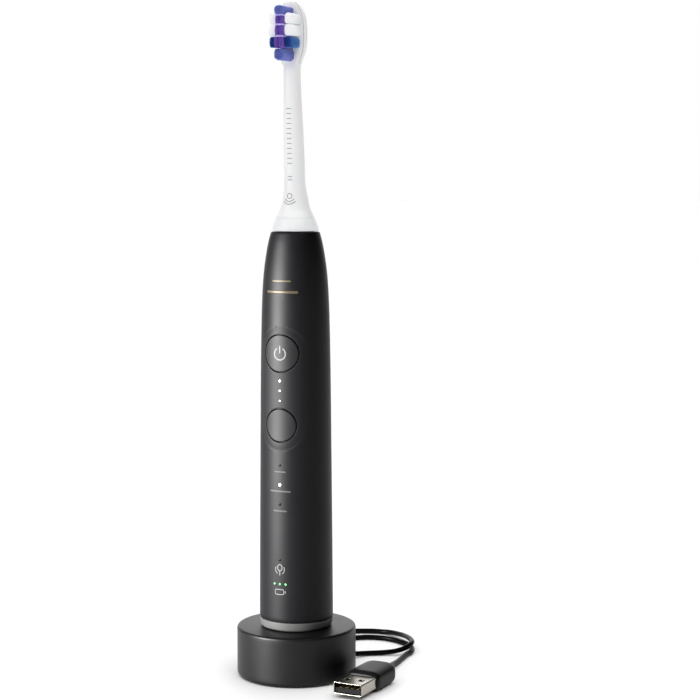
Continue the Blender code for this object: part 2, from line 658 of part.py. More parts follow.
def light_guide(name, points, pin_radius):
    """Clear rail on the board's front with a pin that runs up to the wall at each light."""
    xs = [x for x, z in points]
    zs = [z for x, z in points]
    rail = box(name, (min(xs) - 0.8, -10.0, min(zs) - 0.8), (max(xs) + 0.8, -9.0, max(zs) + 0.8),
               clear_plastic())
    for index, (x, z) in enumerate(points):
        wall = handle_radius(z) - HANDLE_WALL - GAP - 0.15
        reach = -math.sqrt(wall ** 2 - x ** 2)
        join(rail, rod_y(f"{name}_pin_{index + 1}", x, z, pin_radius, reach, -9.5, sides=10, cutter=True))
    return rail


def motor():
    """Laminated core, its winding, and the bearing and seal that carry the shaft."""
    core = box("motor_core", (-6.8, -4.0, 140.0), (6.8, 4.0, 150.0), steel())
    for side, x0, x1 in (("left", -4.9, -1.7), ("right", 1.7, 4.9)):
        cut(core, box("core_slot_" + side, (x0, -6, 143.0), (x1, 6, 152.0), None, cutter=True))
    coil = box("motor_winding", (-4.6, -6.4, 143.4), (4.6, 6.4, 149.4), copper(), round_edge=0.8)
    cut(coil, box("winding_window", (-2.0, -4.3, 140.0), (2.0, 4.3, 152.0), None, cutter=True))
    smooth(ring("bearing_block", 5.3, 9.3, 158.3, 164.6, grey_plastic()))
    smooth(ring("shaft_bearing", SHAFT_RADIUS + GAP, 5.0, 158.8, 164.2, steel()))
    seal = [(SHAFT_HOLE_RADIUS - GAP, 175.0), (SHAFT_HOLE_RADIUS - GAP, 172.4), (6.3, 172.4), (6.3, 171.2),
            (SHAFT_RADIUS + GAP, 171.2), (SHAFT_RADIUS + GAP, 174.2), (3.2, 175.0)]
    smooth(turned("shaft_seal", seal, soft_black(), steps=SMALL_STEPS))


# ---------------------------------------------------------------- drive

def drive():
    """Steel shaft with the magnets and their yoke, all turning about the handle's axis."""
    axis = axis_empty("shaft_axis", (0.0, 0.0, SHAFT_BOTTOM))
    shaft = [(0, SHAFT_TOP), (1.5, SHAFT_TOP), (SHAFT_RADIUS, SHAFT_TOP - 0.6), (SHAFT_RADIUS, SHAFT_BOTTOM),
             (0, SHAFT_BOTTOM)]
    rod = turned("drive_shaft", shaft, steel(), steps=SMALL_STEPS)
    flat = box("shaft_flat", (-4, 1.45, 184.0), (4, 4, 200.0), None, cutter=True)
    smooth(cut(rod, flat))
    yoke = box("armature_yoke", (-6.4, -3.6, 153.6), (6.4, 3.6, 155.4), steel())
    hub = ring("yoke_hub", 0, 3.9, 153.8, 157.4, None, cutter=True)
    join(yoke, hub)
    cut(yoke, ring("yoke_bore", 0, SHAFT_RADIUS + GAP, 150.0, 160.0, None, cutter=True))
    for side, x in (("left", -4.4), ("right", 4.4)):
        magnet = box("magnet_" + side, (x - 1.9, -3.3, 151.0), (x + 1.9, 3.3, 153.3), steel(), round_edge=0.2)
        magnet.parent = axis
        magnet.matrix_parent_inverse = Matrix.Translation(axis.location).inverted()
    for item in (rod, yoke):
        item.parent = axis
        item.matrix_parent_inverse = Matrix.Translation(axis.location).inverted()


# ---------------------------------------------------------------- brush head

def brush_base_ring():
    """Ring at the foot of the brush head, recessed below for the tag."""
    profile = [(7.95, 180.3), (8.5, 178.9), (8.95, 177.6), (9.28, 176.3), (9.15, RING_BOTTOM),
               (8.3, RING_BOTTOM), (8.3, 178.2), (5.8, 178.2), (5.8, 180.3)]
    smooth(turned("brush_base_ring", profile, white_plastic(), steps=STEPS))
    smooth(ring("brush_id_tag", 6.1, 7.9, 176.4, 177.6, copper()))


def neck_section(height, half_width, half_depth, centre):
    """One ring of the neck: round below, and flatter across the front of the head."""
    flatten = min(max((height - 238.0) / 8.0, 0.0), 1.0)
    power = 2.0 + 0.7 * flatten
    ring_points = []
    for i in range(NECK_SIDES):
        angle = math.tau * i / NECK_SIDES
        c, s = math.cos(angle), math.sin(angle)
        x = half_width * math.copysign(abs(c) ** (2 / power), c)
        y = centre + half_depth * math.copysign(abs(s) ** (2 / power), s)
        ring_points.append((x, y, height))
    return ring_points


def brush_neck():
    """Neck and head plate in one moulding, with a skirt in the ring and a bore for the shaft."""
    skirt = [(5.5, 5.5, 0.0, 176.0), (5.5, 5.5, 0.0, NECK_BOTTOM - 0.02)]
    sections = [neck_section(z, a, b, c) for a, b, c, z in skirt]
    sections += [neck_section(*station) for station in NECK_STATIONS]
    neck = loft("brush_neck", sections, white_plastic())
    bore = ring("neck_bore", 0, 3.0, 174.0, BORE_TOP, None, cutter=True)
    smooth(cut(neck, bore))
    sleeve = ring("shaft_sleeve", SHAFT_RADIUS + GAP, 2.7, 181.0, 199.0, grey_plastic())
    smooth(sleeve)


def tufts():
    """Plain solids for the groups of bristles, each the size of its group."""
    root = PLATE_FRONT - GAP
    white = finish("bristles_white", (0.85, 0.87, 0.92), 0.5)
    sky = finish("bristles_light_blue", (0.3, 0.4, 0.8), 0.5)
    purple = finish("bristles_purple", (0.22, 0.12, 0.55), 0.5)
    blue = finish("bristles_blue", (0.05, 0.22, 0.6), 0.5)
    groups = [
        ("toe_bristles", TOE_TUFT, 0.8, TOE_TIP, sky),
        ("centre_bristles", CENTRE_TUFT, 0.7, CENTRE_TIP, purple),
        ("heel_bristles", HEEL_TUFT, 1.0, HEEL_TIP, sky),
    ]
    for side, sign in (("left", -1), ("right", 1)):
        x0, x1 = sorted((WHITE_TUFT[0] * sign, WHITE_TUFT[1] * sign))
        groups.append((f"white_bristles_{side}", (x0, x1, *WHITE_TUFT[2:]), 1.0, WHITE_TIP, white))
        x0, x1 = sorted((BLUE_TUFT[0] * sign, BLUE_TUFT[1] * sign))
        groups.append((f"blue_bristles_{side}", (x0, x1, *BLUE_TUFT[2:]), 0.7, BLUE_TIP, blue))
    for name, (x0, x1, z0, z1), corner, tip, colour in groups:
        outline = rounded_box_outline(x0, x1, z0, z1, (corner,) * 4, 3)
        outline_solid(name, outline, tip, root, "Y", colour)


def main():
    """Build the whole assembly from the floor up."""
    clear_scene()
    charger_shell()
    charger_base_plate()
    foot_ring()
    charger_inside()
    cord_strain_relief()
    cord()
    plug()
    end_cap()
    handle_housing()
    internal_frame()
    electronics()
    light_guide("intensity_light_guide", ((0, 118.2), (0, 114.4), (0, 110.5)), 0.5)
    light_guide("mode_light_guide", ((0, 85.4), (0, 77.8), (0, 70.1)), 0.6)
    light_guide("charge_light_guide", ((-2.4, 38.7), (0, 38.7), (2.4, 38.7)), 0.6)
    button("power_button", POWER_HEIGHT, POWER_RADIUS)
    button("mode_button", MODE_HEIGHT, MODE_RADIUS)
    motor()
    drive()
    brush_base_ring()
    brush_neck()
    tufts()


main()
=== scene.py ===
"""Electric toothbrush standing on its round USB charging base: surfaces, finishes and light.

Sizes are in millimetres and become metres when a mesh is made. The origin is on the floor at
the base's axis, +Z is up, and the buttons and bristles face -Y.
"""
import json
import logging
import math
from collections.abc import Callable, Sequence
from dataclasses import dataclass
from enum import Enum

import bmesh
import bpy
import numpy as np
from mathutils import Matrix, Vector

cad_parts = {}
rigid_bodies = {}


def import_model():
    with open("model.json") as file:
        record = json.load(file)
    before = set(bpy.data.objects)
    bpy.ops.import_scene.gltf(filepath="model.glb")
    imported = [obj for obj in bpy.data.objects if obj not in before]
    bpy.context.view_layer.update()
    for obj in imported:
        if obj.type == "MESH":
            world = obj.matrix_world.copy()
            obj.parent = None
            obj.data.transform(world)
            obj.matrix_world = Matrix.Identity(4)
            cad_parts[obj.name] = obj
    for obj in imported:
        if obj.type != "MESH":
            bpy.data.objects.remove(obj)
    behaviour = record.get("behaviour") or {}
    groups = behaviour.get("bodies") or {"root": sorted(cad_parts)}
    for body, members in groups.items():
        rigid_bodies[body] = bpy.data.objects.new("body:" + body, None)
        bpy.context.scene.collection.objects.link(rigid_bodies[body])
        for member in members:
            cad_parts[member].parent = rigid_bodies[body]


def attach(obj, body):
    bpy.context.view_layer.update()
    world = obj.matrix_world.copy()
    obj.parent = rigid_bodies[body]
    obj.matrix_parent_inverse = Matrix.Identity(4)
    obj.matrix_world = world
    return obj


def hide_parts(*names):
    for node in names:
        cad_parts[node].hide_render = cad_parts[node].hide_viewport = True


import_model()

LOG = logging.getLogger("toothbrush")
MM = 0.001
MERGE_WITHIN = 2e-6           # metres within which doubled points are merged
FLAT_MARK_LIFT = 0.02         # millimetres that a printed mark stands above its surface
Colour = tuple[float, float, float]
Pair = tuple[float, float]
Triple = tuple[float, float, float]
Surface = Callable[[np.ndarray, np.ndarray, float], np.ndarray]


# ---------------------------------------------------------------- finishes

class Slot(Enum):
    """The record's material slots, listed beside each new piece."""

    BLACK = "black_plastic"
    RUBBER = "soft_black_rubber"
    GREY = "grey_plastic"
    WHITE = "white_plastic"
    GUIDE = "light_guide_plastic"
    CORD = "cord_black"
    STEEL = "steel"
    BRISTLE_WHITE = "bristles_white"
    BRISTLE_SKY = "bristles_light_blue"
    BRISTLE_PURPLE = "bristles_purple"
    BRISTLE_BLUE = "bristles_blue"


@dataclass(frozen=True)
class Finish:
    """A moulded, painted or metal finish with drifting colour, uneven gloss and a fine grain."""

    name: str
    colour: Colour
    roughness: float
    metallic: float = 0.0
    specular: float = 0.5
    drift: float = 0.14           # share by which the colour varies over the piece
    gloss_drift: float = 0.05
    grain_scale: float = 5200.0   # grains to the metre
    grain_depth: float = 0.006    # millimetres
    stretch: Triple = (1.0, 1.0, 1.0)
    coat: float = 0.0
    subsurface: float = 0.0
    glow: float = 0.0
    tip_colour: Colour | None = None
    tip_span: Pair = (-0.0046, -0.0146)   # metres along Y from root to tip

    def material(self) -> bpy.types.Material:
        """The Blender material, made once.

        Returns:
            The material with this finish's name.
        """
        known = bpy.data.materials.get(self.name)
        if known:
            return known
        made = bpy.data.materials.new(self.name)
        made.use_nodes = True
        tree = made.node_tree
        shader = tree.nodes["Principled BSDF"]
        shader.inputs["Metallic"].default_value = self.metallic
        shader.inputs["Specular IOR Level"].default_value = self.specular
        shader.inputs["Coat Weight"].default_value = self.coat
        shader.inputs["Coat Roughness"].default_value = 0.12
        shader.inputs["Subsurface Weight"].default_value = self.subsurface
        shader.inputs["Subsurface Scale"].default_value = 0.0025
        if self.glow:
            shader.inputs["Emission Color"].default_value = (*self.colour, 1.0)
            shader.inputs["Emission Strength"].default_value = self.glow
        place = tree.nodes.new("ShaderNodeTexCoord")
        mapping = tree.nodes.new("ShaderNodeMapping")
        mapping.inputs["Scale"].default_value = self.stretch
        tree.links.new(place.outputs["Object"], mapping.inputs["Vector"])
        broad = self._noise(tree, mapping, self.grain_scale / 60, 3.0)
        fine = self._noise(tree, mapping, self.grain_scale, 2.0)
        self._colour_by(tree, broad, place, shader)
        gloss = tree.nodes.new("ShaderNodeMapRange")
        gloss.inputs["To Min"].default_value = self.roughness - self.gloss_drift
        gloss.inputs["To Max"].default_value = self.roughness + self.gloss_drift
        tree.links.new(broad.outputs["Fac"], gloss.inputs["Value"])
        tree.links.new(gloss.outputs["Result"], shader.inputs["Roughness"])
        bump = tree.nodes.new("ShaderNodeBump")
        bump.inputs["Strength"].default_value = 0.6
        bump.inputs["Distance"].default_value = self.grain_depth * MM
        tree.links.new(fine.outputs["Fac"], bump.inputs["Height"])
        tree.links.new(bump.outputs["Normal"], shader.inputs["Normal"])
        return made

    def _noise(self, tree: bpy.types.NodeTree, mapping: bpy.types.Node, scale: float,
               detail: float) -> bpy.types.Node:
        """Noise on the mapped object coordinates.

        Args:
            tree: The material's nodes.
            mapping: The node that gives the coordinates.
            scale: Grains to the metre.
            detail: Octaves.

        Returns:
            The noise node.
        """
        noise = tree.nodes.new("ShaderNodeTexNoise")
        noise.inputs["Scale"].default_value = scale
        noise.inputs["Detail"].default_value = detail
        tree.links.new(mapping.outputs["Vector"], noise.inputs["Vector"])
        return noise

    def _colour_by(self, tree: bpy.types.NodeTree, noise: bpy.types.Node, place: bpy.types.Node,
                   shader: bpy.types.Node) -> None:
        """Colour that drifts with the noise, and from root to tip where a tip colour is given.

        Args:
            tree: The material's nodes.
            noise: The noise that moves the colour.
            place: The texture coordinates.
            shader: The shader to feed.
        """
        ramp = tree.nodes.new("ShaderNodeValToRGB")
        low = [value * (1 - self.drift) for value in self.colour]
        high = [min(1.0, value * (1 + self.drift)) for value in self.colour]
        ramp.color_ramp.elements[0].position = 0.3
        ramp.color_ramp.elements[0].color = (*low, 1.0)
        ramp.color_ramp.elements[1].position = 0.7
        ramp.color_ramp.elements[1].color = (*high, 1.0)
        tree.links.new(noise.outputs["Fac"], ramp.inputs["Fac"])
        if self.tip_colour is None:
            tree.links.new(ramp.outputs["Color"], shader.inputs["Base Color"])
            return
        split = tree.nodes.new("ShaderNodeSeparateXYZ")
        along = tree.nodes.new("ShaderNodeMapRange")
        along.inputs["From Min"].default_value = self.tip_span[0]
        along.inputs["From Max"].default_value = self.tip_span[1]
        mix = tree.nodes.new("ShaderNodeMix")
        mix.data_type = "RGBA"
        share, root, tip, mixed = mix.inputs[0], mix.inputs[6], mix.inputs[7], mix.outputs[2]
        tip.default_value = (*self.tip_colour, 1.0)
        tree.links.new(place.outputs["Object"], split.inputs["Vector"])
        tree.links.new(split.outputs["Y"], along.inputs["Value"])
        tree.links.new(along.outputs["Result"], share)
        tree.links.new(ramp.outputs["Color"], root)
        tree.links.new(mixed, shader.inputs["Base Color"])


HOUSING = Finish("handle_satin_black", (0.002, 0.0016, 0.0025), 0.47, specular=0.19)
PANEL = Finish("panel_soft_black", (0.003, 0.0026, 0.0035), 0.52, specular=0.21)
BUTTON = Finish("button_soft_black", (0.0046, 0.0042, 0.005), 0.5, specular=0.24)
BASE = Finish("base_matte_black", (0.002, 0.002, 0.0025), 0.4, specular=0.25, grain_depth=0.012)
END_CAP = Finish("end_cap_satin_grey", (0.068, 0.069, 0.067), 0.5, specular=0.3, grain_depth=0.008)
RUBBER = Finish("rubber_black", (0.006, 0.006, 0.0063), 0.56, specular=0.2, grain_depth=0.02)
CORD_BLACK = Finish("cord_gloss_black", (0.002, 0.002, 0.0022), 0.36, specular=0.08, grain_depth=0.01)
GRIP = Finish("grip_matte_black", (0.003, 0.003, 0.0032), 0.42, specular=0.15, grain_depth=0.015)
NICKEL = Finish("plug_nickel", (0.4, 0.375, 0.33), 0.26, metallic=1.0, drift=0.08,
                stretch=(1.0, 0.08, 1.0), grain_scale=9000.0, grain_depth=0.004)
STEEL = Finish("shaft_steel", (0.62, 0.61, 0.6), 0.24, metallic=1.0, drift=0.05,
               stretch=(1.0, 1.0, 0.1), grain_scale=7000.0)
WHITE = Finish("brush_satin_white", (0.86, 0.86, 0.865), 0.3, drift=0.012, subsurface=0.12)
PRINT_WHITE = Finish("print_white", (0.15, 0.15, 0.152), 0.5, specular=0.3, drift=0.05)
PRINT_GREY = Finish("print_grey", (0.36, 0.36, 0.37), 0.5, drift=0.06)
PRINT_DIM = Finish("print_dim", (0.045, 0.045, 0.047), 0.5, specular=0.3, drift=0.06)
PRINT_GOLD = Finish("print_gold", (0.075, 0.061, 0.036), 0.42, metallic=0.3, specular=0.3, drift=0.08)
LIGHT_ON = Finish("light_white_on", (0.9, 0.92, 0.95), 0.3, drift=0.02, glow=1.6)
LIGHT_GREEN = Finish("light_green_on", (0.1, 0.6, 0.17), 0.3, drift=0.03, glow=0.45)
LIGHT_OFF = Finish("light_off", (0.001, 0.001, 0.001), 0.2, specular=0.05, grain_depth=0.002)
TONGUE = Finish("tongue_black_plastic", (0.004, 0.004, 0.004), 0.5, specular=0.1)
EDGE = Finish("plate_edge_grey", (0.5, 0.53, 0.53), 0.35, drift=0.04)
# painted glow: the white filaments give off a little light of their own, standing in for the light they catch
BRISTLE_WHITE = Finish("filament_white", (0.95, 0.95, 0.96), 0.4, drift=0.03, subsurface=0.25,
                       glow=0.13, tip_colour=(0.97, 0.97, 0.98))
BRISTLE_SKY = Finish("filament_sky", (0.19, 0.25, 0.74), 0.36, drift=0.2, tip_colour=(0.24, 0.3, 0.78))
# painted highlight: pale lilac filaments with a little glow, for the top rows of the purple steps where the
# tips catch light
BRISTLE_PAINTED_HIGHLIGHT = Finish("filament_painted_highlight", (0.6, 0.55, 0.92), 0.36, drift=0.1, glow=0.12,
                       tip_colour=(0.75, 0.68, 0.97))
BRISTLE_PURPLE = Finish("filament_purple", (0.2, 0.12, 0.66), 0.36, drift=0.24,
                        tip_colour=(0.3, 0.17, 0.72))
BRISTLE_BLUE = Finish("filament_blue", (0.04, 0.27, 0.74), 0.34, drift=0.16, tip_colour=(0.01, 0.06, 0.38))
COPPER = Finish("wound_copper", (0.72, 0.34, 0.18), 0.34, metallic=1.0, drift=0.2,
                stretch=(1.0, 1.0, 6.0), grain_scale=2600.0, grain_depth=0.05)
FERRITE = Finish("sintered_ferrite", (0.06, 0.06, 0.065), 0.7, drift=0.25, grain_depth=0.03)
BOARD = Finish("board_lacquer", (0.02, 0.13, 0.06), 0.34, drift=0.3, coat=0.3, grain_scale=3000.0)
SLEEVE = Finish("battery_wrap", (0.1, 0.26, 0.38), 0.3, drift=0.1, coat=0.4)
INNER_GREY = Finish("inner_grey_plastic", (0.24, 0.24, 0.25), 0.45, drift=0.1, grain_depth=0.012)
GUIDE = Finish("guide_clear_plastic", (0.75, 0.8, 0.82), 0.14, drift=0.04, coat=0.3)
# painted shade: the contacts' gold is darkened to the dark of the plug's mouth that they sit in
CONTACT_GOLD_IN_PAINTED_SHADE = Finish("contact_gold_painted_shade", (0.2, 0.14, 0.06), 0.4, metallic=1.0, drift=0.06)
INNER_BLACK = Finish("inner_black_plastic", (0.03, 0.03, 0.032), 0.5, grain_depth=0.01)


# ---------------------------------------------------------------- surfaces in numbers

def grid_faces(rows: int, columns: int, wrap_rows: bool = False, wrap_columns: bool = False) -> np.ndarray:
    """Four-sided faces over a grid of points.

    Args:
        rows: Lines of points.
        columns: Points in a line.
        wrap_rows: The last line joins the first.
        wrap_columns: Each line's last point joins its first.

    Returns:
        Indices, four to a face.
    """
    i, j = np.meshgrid(np.arange(rows - (not wrap_rows)), np.arange(columns - (not wrap_columns)),
                       indexing="ij")
    below, beside = (i + 1) % rows, (j + 1) % columns
    corners = (i * columns + j, i * columns + beside, below * columns + beside, below * columns + j)
    return np.stack(corners, axis=-1).reshape(-1, 4)


def smooth_step(value: np.ndarray) -> np.ndarray:
    """Rises from 0 to 1 as value does, level at both ends: 3t^2 - 2t^3."""
    t = np.clip(value, 0.0, 1.0)
    return t * t * (3 - 2 * t)


def through(points: Sequence[Sequence[float]], per_span: int) -> np.ndarray:
    """A Catmull-Rom curve: each span is the cubic with half the chord of its neighbours as slope.

    Args:
        points: What the curve passes through.
        per_span: Steps between two of them.

    Returns:
        Points along the curve.
    """
    given = np.asarray(points, float)
    ends = np.vstack([2 * given[0] - given[1], given, 2 * given[-1] - given[-2]])
    a, b, c, d = (ends[k:len(ends) - 3 + k, None, :] for k in range(4))
    t = (np.arange(per_span) / per_span)[None, :, None]
    spans = 0.5 * (2 * b + (c - a) * t + (2 * a - 5 * b + 4 * c - d) * t ** 2
                   + (3 * b - a - 3 * c + d) * t ** 3)
    return np.vstack([spans.reshape(-1, given.shape[1]), given[-1:]])


def filleted(corners: Sequence[Triple], steps: int = 6) -> np.ndarray:
    """A profile whose corners are rounded: each becomes the parabola between two points on its sides.

    Args:
        corners: (radius, height, round) of each corner, closed on itself.
        steps: Points in each round.

    Returns:
        Points (radius, height) around the closed profile.
    """
    table = np.asarray(corners, float)
    here, cut = table[:, :2], table[:, 2:3]
    back, ahead = np.roll(here, 1, axis=0) - here, np.roll(here, -1, axis=0) - here
    start = here + back / np.linalg.norm(back, axis=1, keepdims=True) * cut
    end = here + ahead / np.linalg.norm(ahead, axis=1, keepdims=True) * cut
    t = np.linspace(0.0, 1.0, steps)[None, :, None]
    arcs = (1 - t) ** 2 * start[:, None] + 2 * t * (1 - t) * here[:, None] + t ** 2 * end[:, None]
    return arcs.reshape(-1, 2)


def turn(profile: np.ndarray, count: int) -> np.ndarray:
    """A profile carried round +Z: x = r cos a, y = r sin a, z = z.

    Args:
        profile: Points (radius, height).
        count: Steps round.

    Returns:
        Grid of points, profile by angle.
    """
    angle = np.arange(count) * math.tau / count
    radius, height = profile[:, :1], profile[:, 1:]
    return np.stack([radius * np.cos(angle), radius * np.sin(angle), height + 0 * angle], axis=-1)


def merge_doubles(mesh: bpy.types.Mesh, outwards: bool) -> None:
    """Merge a mesh's doubled points.

    Args:
        mesh: The mesh.
        outwards: Its faces are turned outwards as well.
    """
    shape = bmesh.new()
    shape.from_mesh(mesh)
    bmesh.ops.remove_doubles(shape, verts=shape.verts, dist=MERGE_WITHIN)
    if outwards:
        bmesh.ops.recalc_face_normals(shape, faces=shape.faces)
    shape.to_mesh(mesh)
    shape.free()


def make_mesh(name: str, points: np.ndarray, faces: np.ndarray, closed: bool = True,
              sharp: float = 38.0) -> bpy.types.Object:
    """A mesh piece at the origin, in metres.

    Args:
        name: The piece's name.
        points: Points in millimetres, in any shape that ends in 3.
        faces: Indices of each face.
        closed: Its points are merged and its faces turned outwards.
        sharp: Edges over this angle in degrees stay sharp.

    Returns:
        The new object.
    """
    mesh = bpy.data.meshes.new(name)
    mesh.from_pydata((points.reshape(-1, 3) * MM).tolist(), [], faces.tolist())
    if closed:
        merge_doubles(mesh, outwards=True)
    mesh.shade_smooth()
    mesh.set_sharp_from_angle(angle=math.radians(sharp))
    item = bpy.data.objects.new(name, mesh)
    bpy.context.scene.collection.objects.link(item)
    return item


def turned(name: str, profile: np.ndarray, count: int = 160) -> bpy.types.Object:
    """A closed turned piece.

    Args:
        name: The piece's name.
        profile: Points (radius, height), closed on itself.
        count: Steps round.

    Returns:
        The new object.
    """
    points = turn(profile, count)
    on_axis = profile[0, 0] < 0.01 and profile[-1, 0] < 0.01
    return make_mesh(name, points, grid_faces(len(profile), count, not on_axis, True))


def dress(item: bpy.types.Object, finish: Finish, body: str, slot: Slot, *nodes: str) -> bpy.types.Object:
    """Give a piece its finish, the body that it rides on and the nodes it stands for.

    Args:
        item: The piece.
        finish: Its finish.
        body: The body's name.
        slot: The record's material slot; not used.
        nodes: CAD nodes that it replaces.

    Returns:
        The same piece.
    """
    item.data.materials.clear()
    item.data.materials.append(finish.material())
    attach(item, body)
    if nodes:
        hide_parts(*nodes)
    return item


def thicken(item: bpy.types.Object, depth: float) -> None:
    """Give an outward-facing sheet a thickness in millimetres behind it."""
    wall = item.modifiers.new("thickness", "SOLIDIFY")
    wall.thickness = depth * MM
    wall.offset = -1.0


def facing_front(points: np.ndarray, faces: np.ndarray) -> np.ndarray:
    """The faces of a sheet turned so that they point towards -Y.

    Args:
        points: The sheet's points.
        faces: Its faces.

    Returns:
        The faces, reversed if they pointed the other way.
    """
    flat = points.reshape(-1, 3)
    a, b, c = (flat[faces[:, k]] for k in range(3))
    return faces[:, ::-1] if np.cross(b - a, c - a)[:, 1].sum() > 0 else faces


# ---------------------------------------------------------------- the handle's surface

HANDLE_STATIONS = np.array((      # height, outer radius
    (23.5, 14.5), (53.0, 14.31), (85.0, 14.02), (109.0, 13.8), (125.0, 13.6), (141.0, 13.29),
    (152.5, 12.85), (160.5, 12.22), (167.0, 11.3), (171.8, 10.38), (174.6, 9.6)))


def handle_radius(height: np.ndarray) -> np.ndarray:
    """Outer radius at a height: Hermite cubics whose slope is the chord of the neighbours.

    Args:
        height: Heights in millimetres.

    Returns:
        Radii in millimetres.
    """
    z, r = HANDLE_STATIONS.T
    height = np.clip(height, z[0], z[-1])
    slope = np.empty_like(r)
    slope[1:-1] = (r[2:] - r[:-2]) / (z[2:] - z[:-2])
    slope[0], slope[-1] = (r[1] - r[0]) / (z[1] - z[0]), (r[-1] - r[-2]) / (z[-1] - z[-2])
    k = np.clip(np.searchsorted(z, height) - 1, 0, len(z) - 2)
    span = z[k + 1] - z[k]
    t = (height - z[k]) / span
    return ((2 * t ** 3 - 3 * t ** 2 + 1) * r[k] + (t ** 3 - 2 * t ** 2 + t) * span * slope[k]
            + (3 * t ** 2 - 2 * t ** 3) * r[k + 1] + (t ** 3 - t ** 2) * span * slope[k + 1])


def handle_front(x: np.ndarray, z: np.ndarray, offset: float | np.ndarray) -> np.ndarray:
    """Y of the handle's front, raised by an offset: -sqrt((r(z) + offset)^2 - x^2)."""
    return -np.sqrt((handle_radius(z) + offset) ** 2 - x ** 2)


def stroke(path: np.ndarray, width: float, closed: bool = False, across: int = 5) -> np.ndarray:
    """A pen stroke along a path: path point plus its normal times the half width. The half width
    closes in a half circle past each end of an open path.

    Args:
        path: Points (x, z).
        width: The stroke's width.
        closed: The path joins its own start.
        across: Points across it.

    Returns:
        Grid of (x, z), along by across.
    """
    half = width / 2
    run = np.vstack([path, path[:1]]) if closed else path
    travelled = np.r_[0.0, np.cumsum(np.linalg.norm(np.diff(run, axis=0), axis=1))]
    length = travelled[-1]
    count = max(24, int(length / 0.12))
    cap = half * np.sin(np.linspace(0, math.pi / 2, 6))
    inner = np.linspace(0, length, count)
    s = inner if closed else np.r_[-cap[::-1], inner[1:-1], length + cap]
    held = np.clip(s, 0, length)
    spots = np.stack([np.interp(held, travelled, run[:, k]) for k in range(2)], axis=-1)
    middle = np.stack([np.interp(inner, travelled, run[:, k]) for k in range(2)], axis=-1)
    slope = np.gradient(middle, axis=0)
    ahead = np.stack([np.interp(held, inner, slope[:, k]) for k in range(2)], axis=-1)
    ahead /= np.linalg.norm(ahead, axis=1, keepdims=True)
    past = s - held
    spots = spots + ahead * past[:, None]
    reach = half * np.sqrt(np.clip(1 - (past / half) ** 2, 0.0004, 1))
    normal = np.stack([-ahead[:, 1], ahead[:, 0]], axis=-1)
    spread = np.linspace(-1, 1, across)[None, :, None]
    return spots[:, None] + normal[:, None] * spread * reach[:, None, None]


def printed(name: str, grid: np.ndarray, surface: Surface, offset: float,
            depth: float = 0.05) -> bpy.types.Object:
    """A printed mark: a grid (x, z) laid on a surface, with a thin layer's thickness.

    Args:
        name: The piece's name.
        grid: Points (x, z), rows by columns.
        surface: Gives y from x, z and an offset.
        offset: Millimetres above the surface.
        depth: The layer's thickness.

    Returns:
        The new object.
    """
    x, z = grid[..., 0], grid[..., 1]
    points = np.stack([x, surface(x, z, offset), z], axis=-1)
    faces = facing_front(points, grid_faces(*grid.shape[:2]))
    item = make_mesh(name, points, faces, closed=False)
    thicken(item, depth)
    return item


def joined(name: str, items: Sequence[bpy.types.Object]) -> bpy.types.Object:
    """Several sheets made one piece, each with its own thickness modifier the same.

    Args:
        name: The joined piece's name.
        items: The pieces, of which the first stays.

    Returns:
        The joined piece.
    """
    with bpy.context.temp_override(active_object=items[0], object=items[0], selected_objects=list(items),
                                   selected_editable_objects=list(items)):
        bpy.ops.object.join()
    items[0].name = items[0].data.name = name
    return items[0]


def circle(x: float, z: float, radius: float, start: float = 0.0, end: float = 360.0,
           count: int = 60) -> np.ndarray:
    """Points (x, z) on an arc, from start to end degrees; a whole circle leaves out its last point."""
    a = np.radians(np.linspace(start, end, count, endpoint=end - start < 360))
    return np.stack([x + radius * np.cos(a), z + radius * np.sin(a)], axis=-1)


def lens(name: str, x: float, z: float, radius: float, surface: Surface, bulge: float) -> bpy.types.Object:
    """A small domed light: rings about its middle, raised by bulge (1 - (rho / radius)^2).

    Args:
        name: The piece's name.
        x: Its middle.
        z: Its middle.
        radius: Its radius.
        surface: What it lies on.
        bulge: Height of its dome.

    Returns:
        The new object.
    """
    rings, count = 7, 28
    share = np.linspace(0.0, 1.0, rings)[:, None]
    a = np.arange(count)[None, :] * math.tau / count
    xs, zs = x + radius * share * np.cos(a), z + radius * share * np.sin(a)
    lift = np.broadcast_to(bulge * (1 - share ** 2) + 0.012, xs.shape)
    points = np.stack([xs, surface(xs, zs, lift), zs], axis=-1)
    faces = facing_front(points, grid_faces(rings, count, wrap_columns=True))
    item = make_mesh(name, points, faces, closed=False)
    merge_doubles(item.data, outwards=False)
    thicken(item, 0.06)
    return item


# ---------------------------------------------------------------- charging base

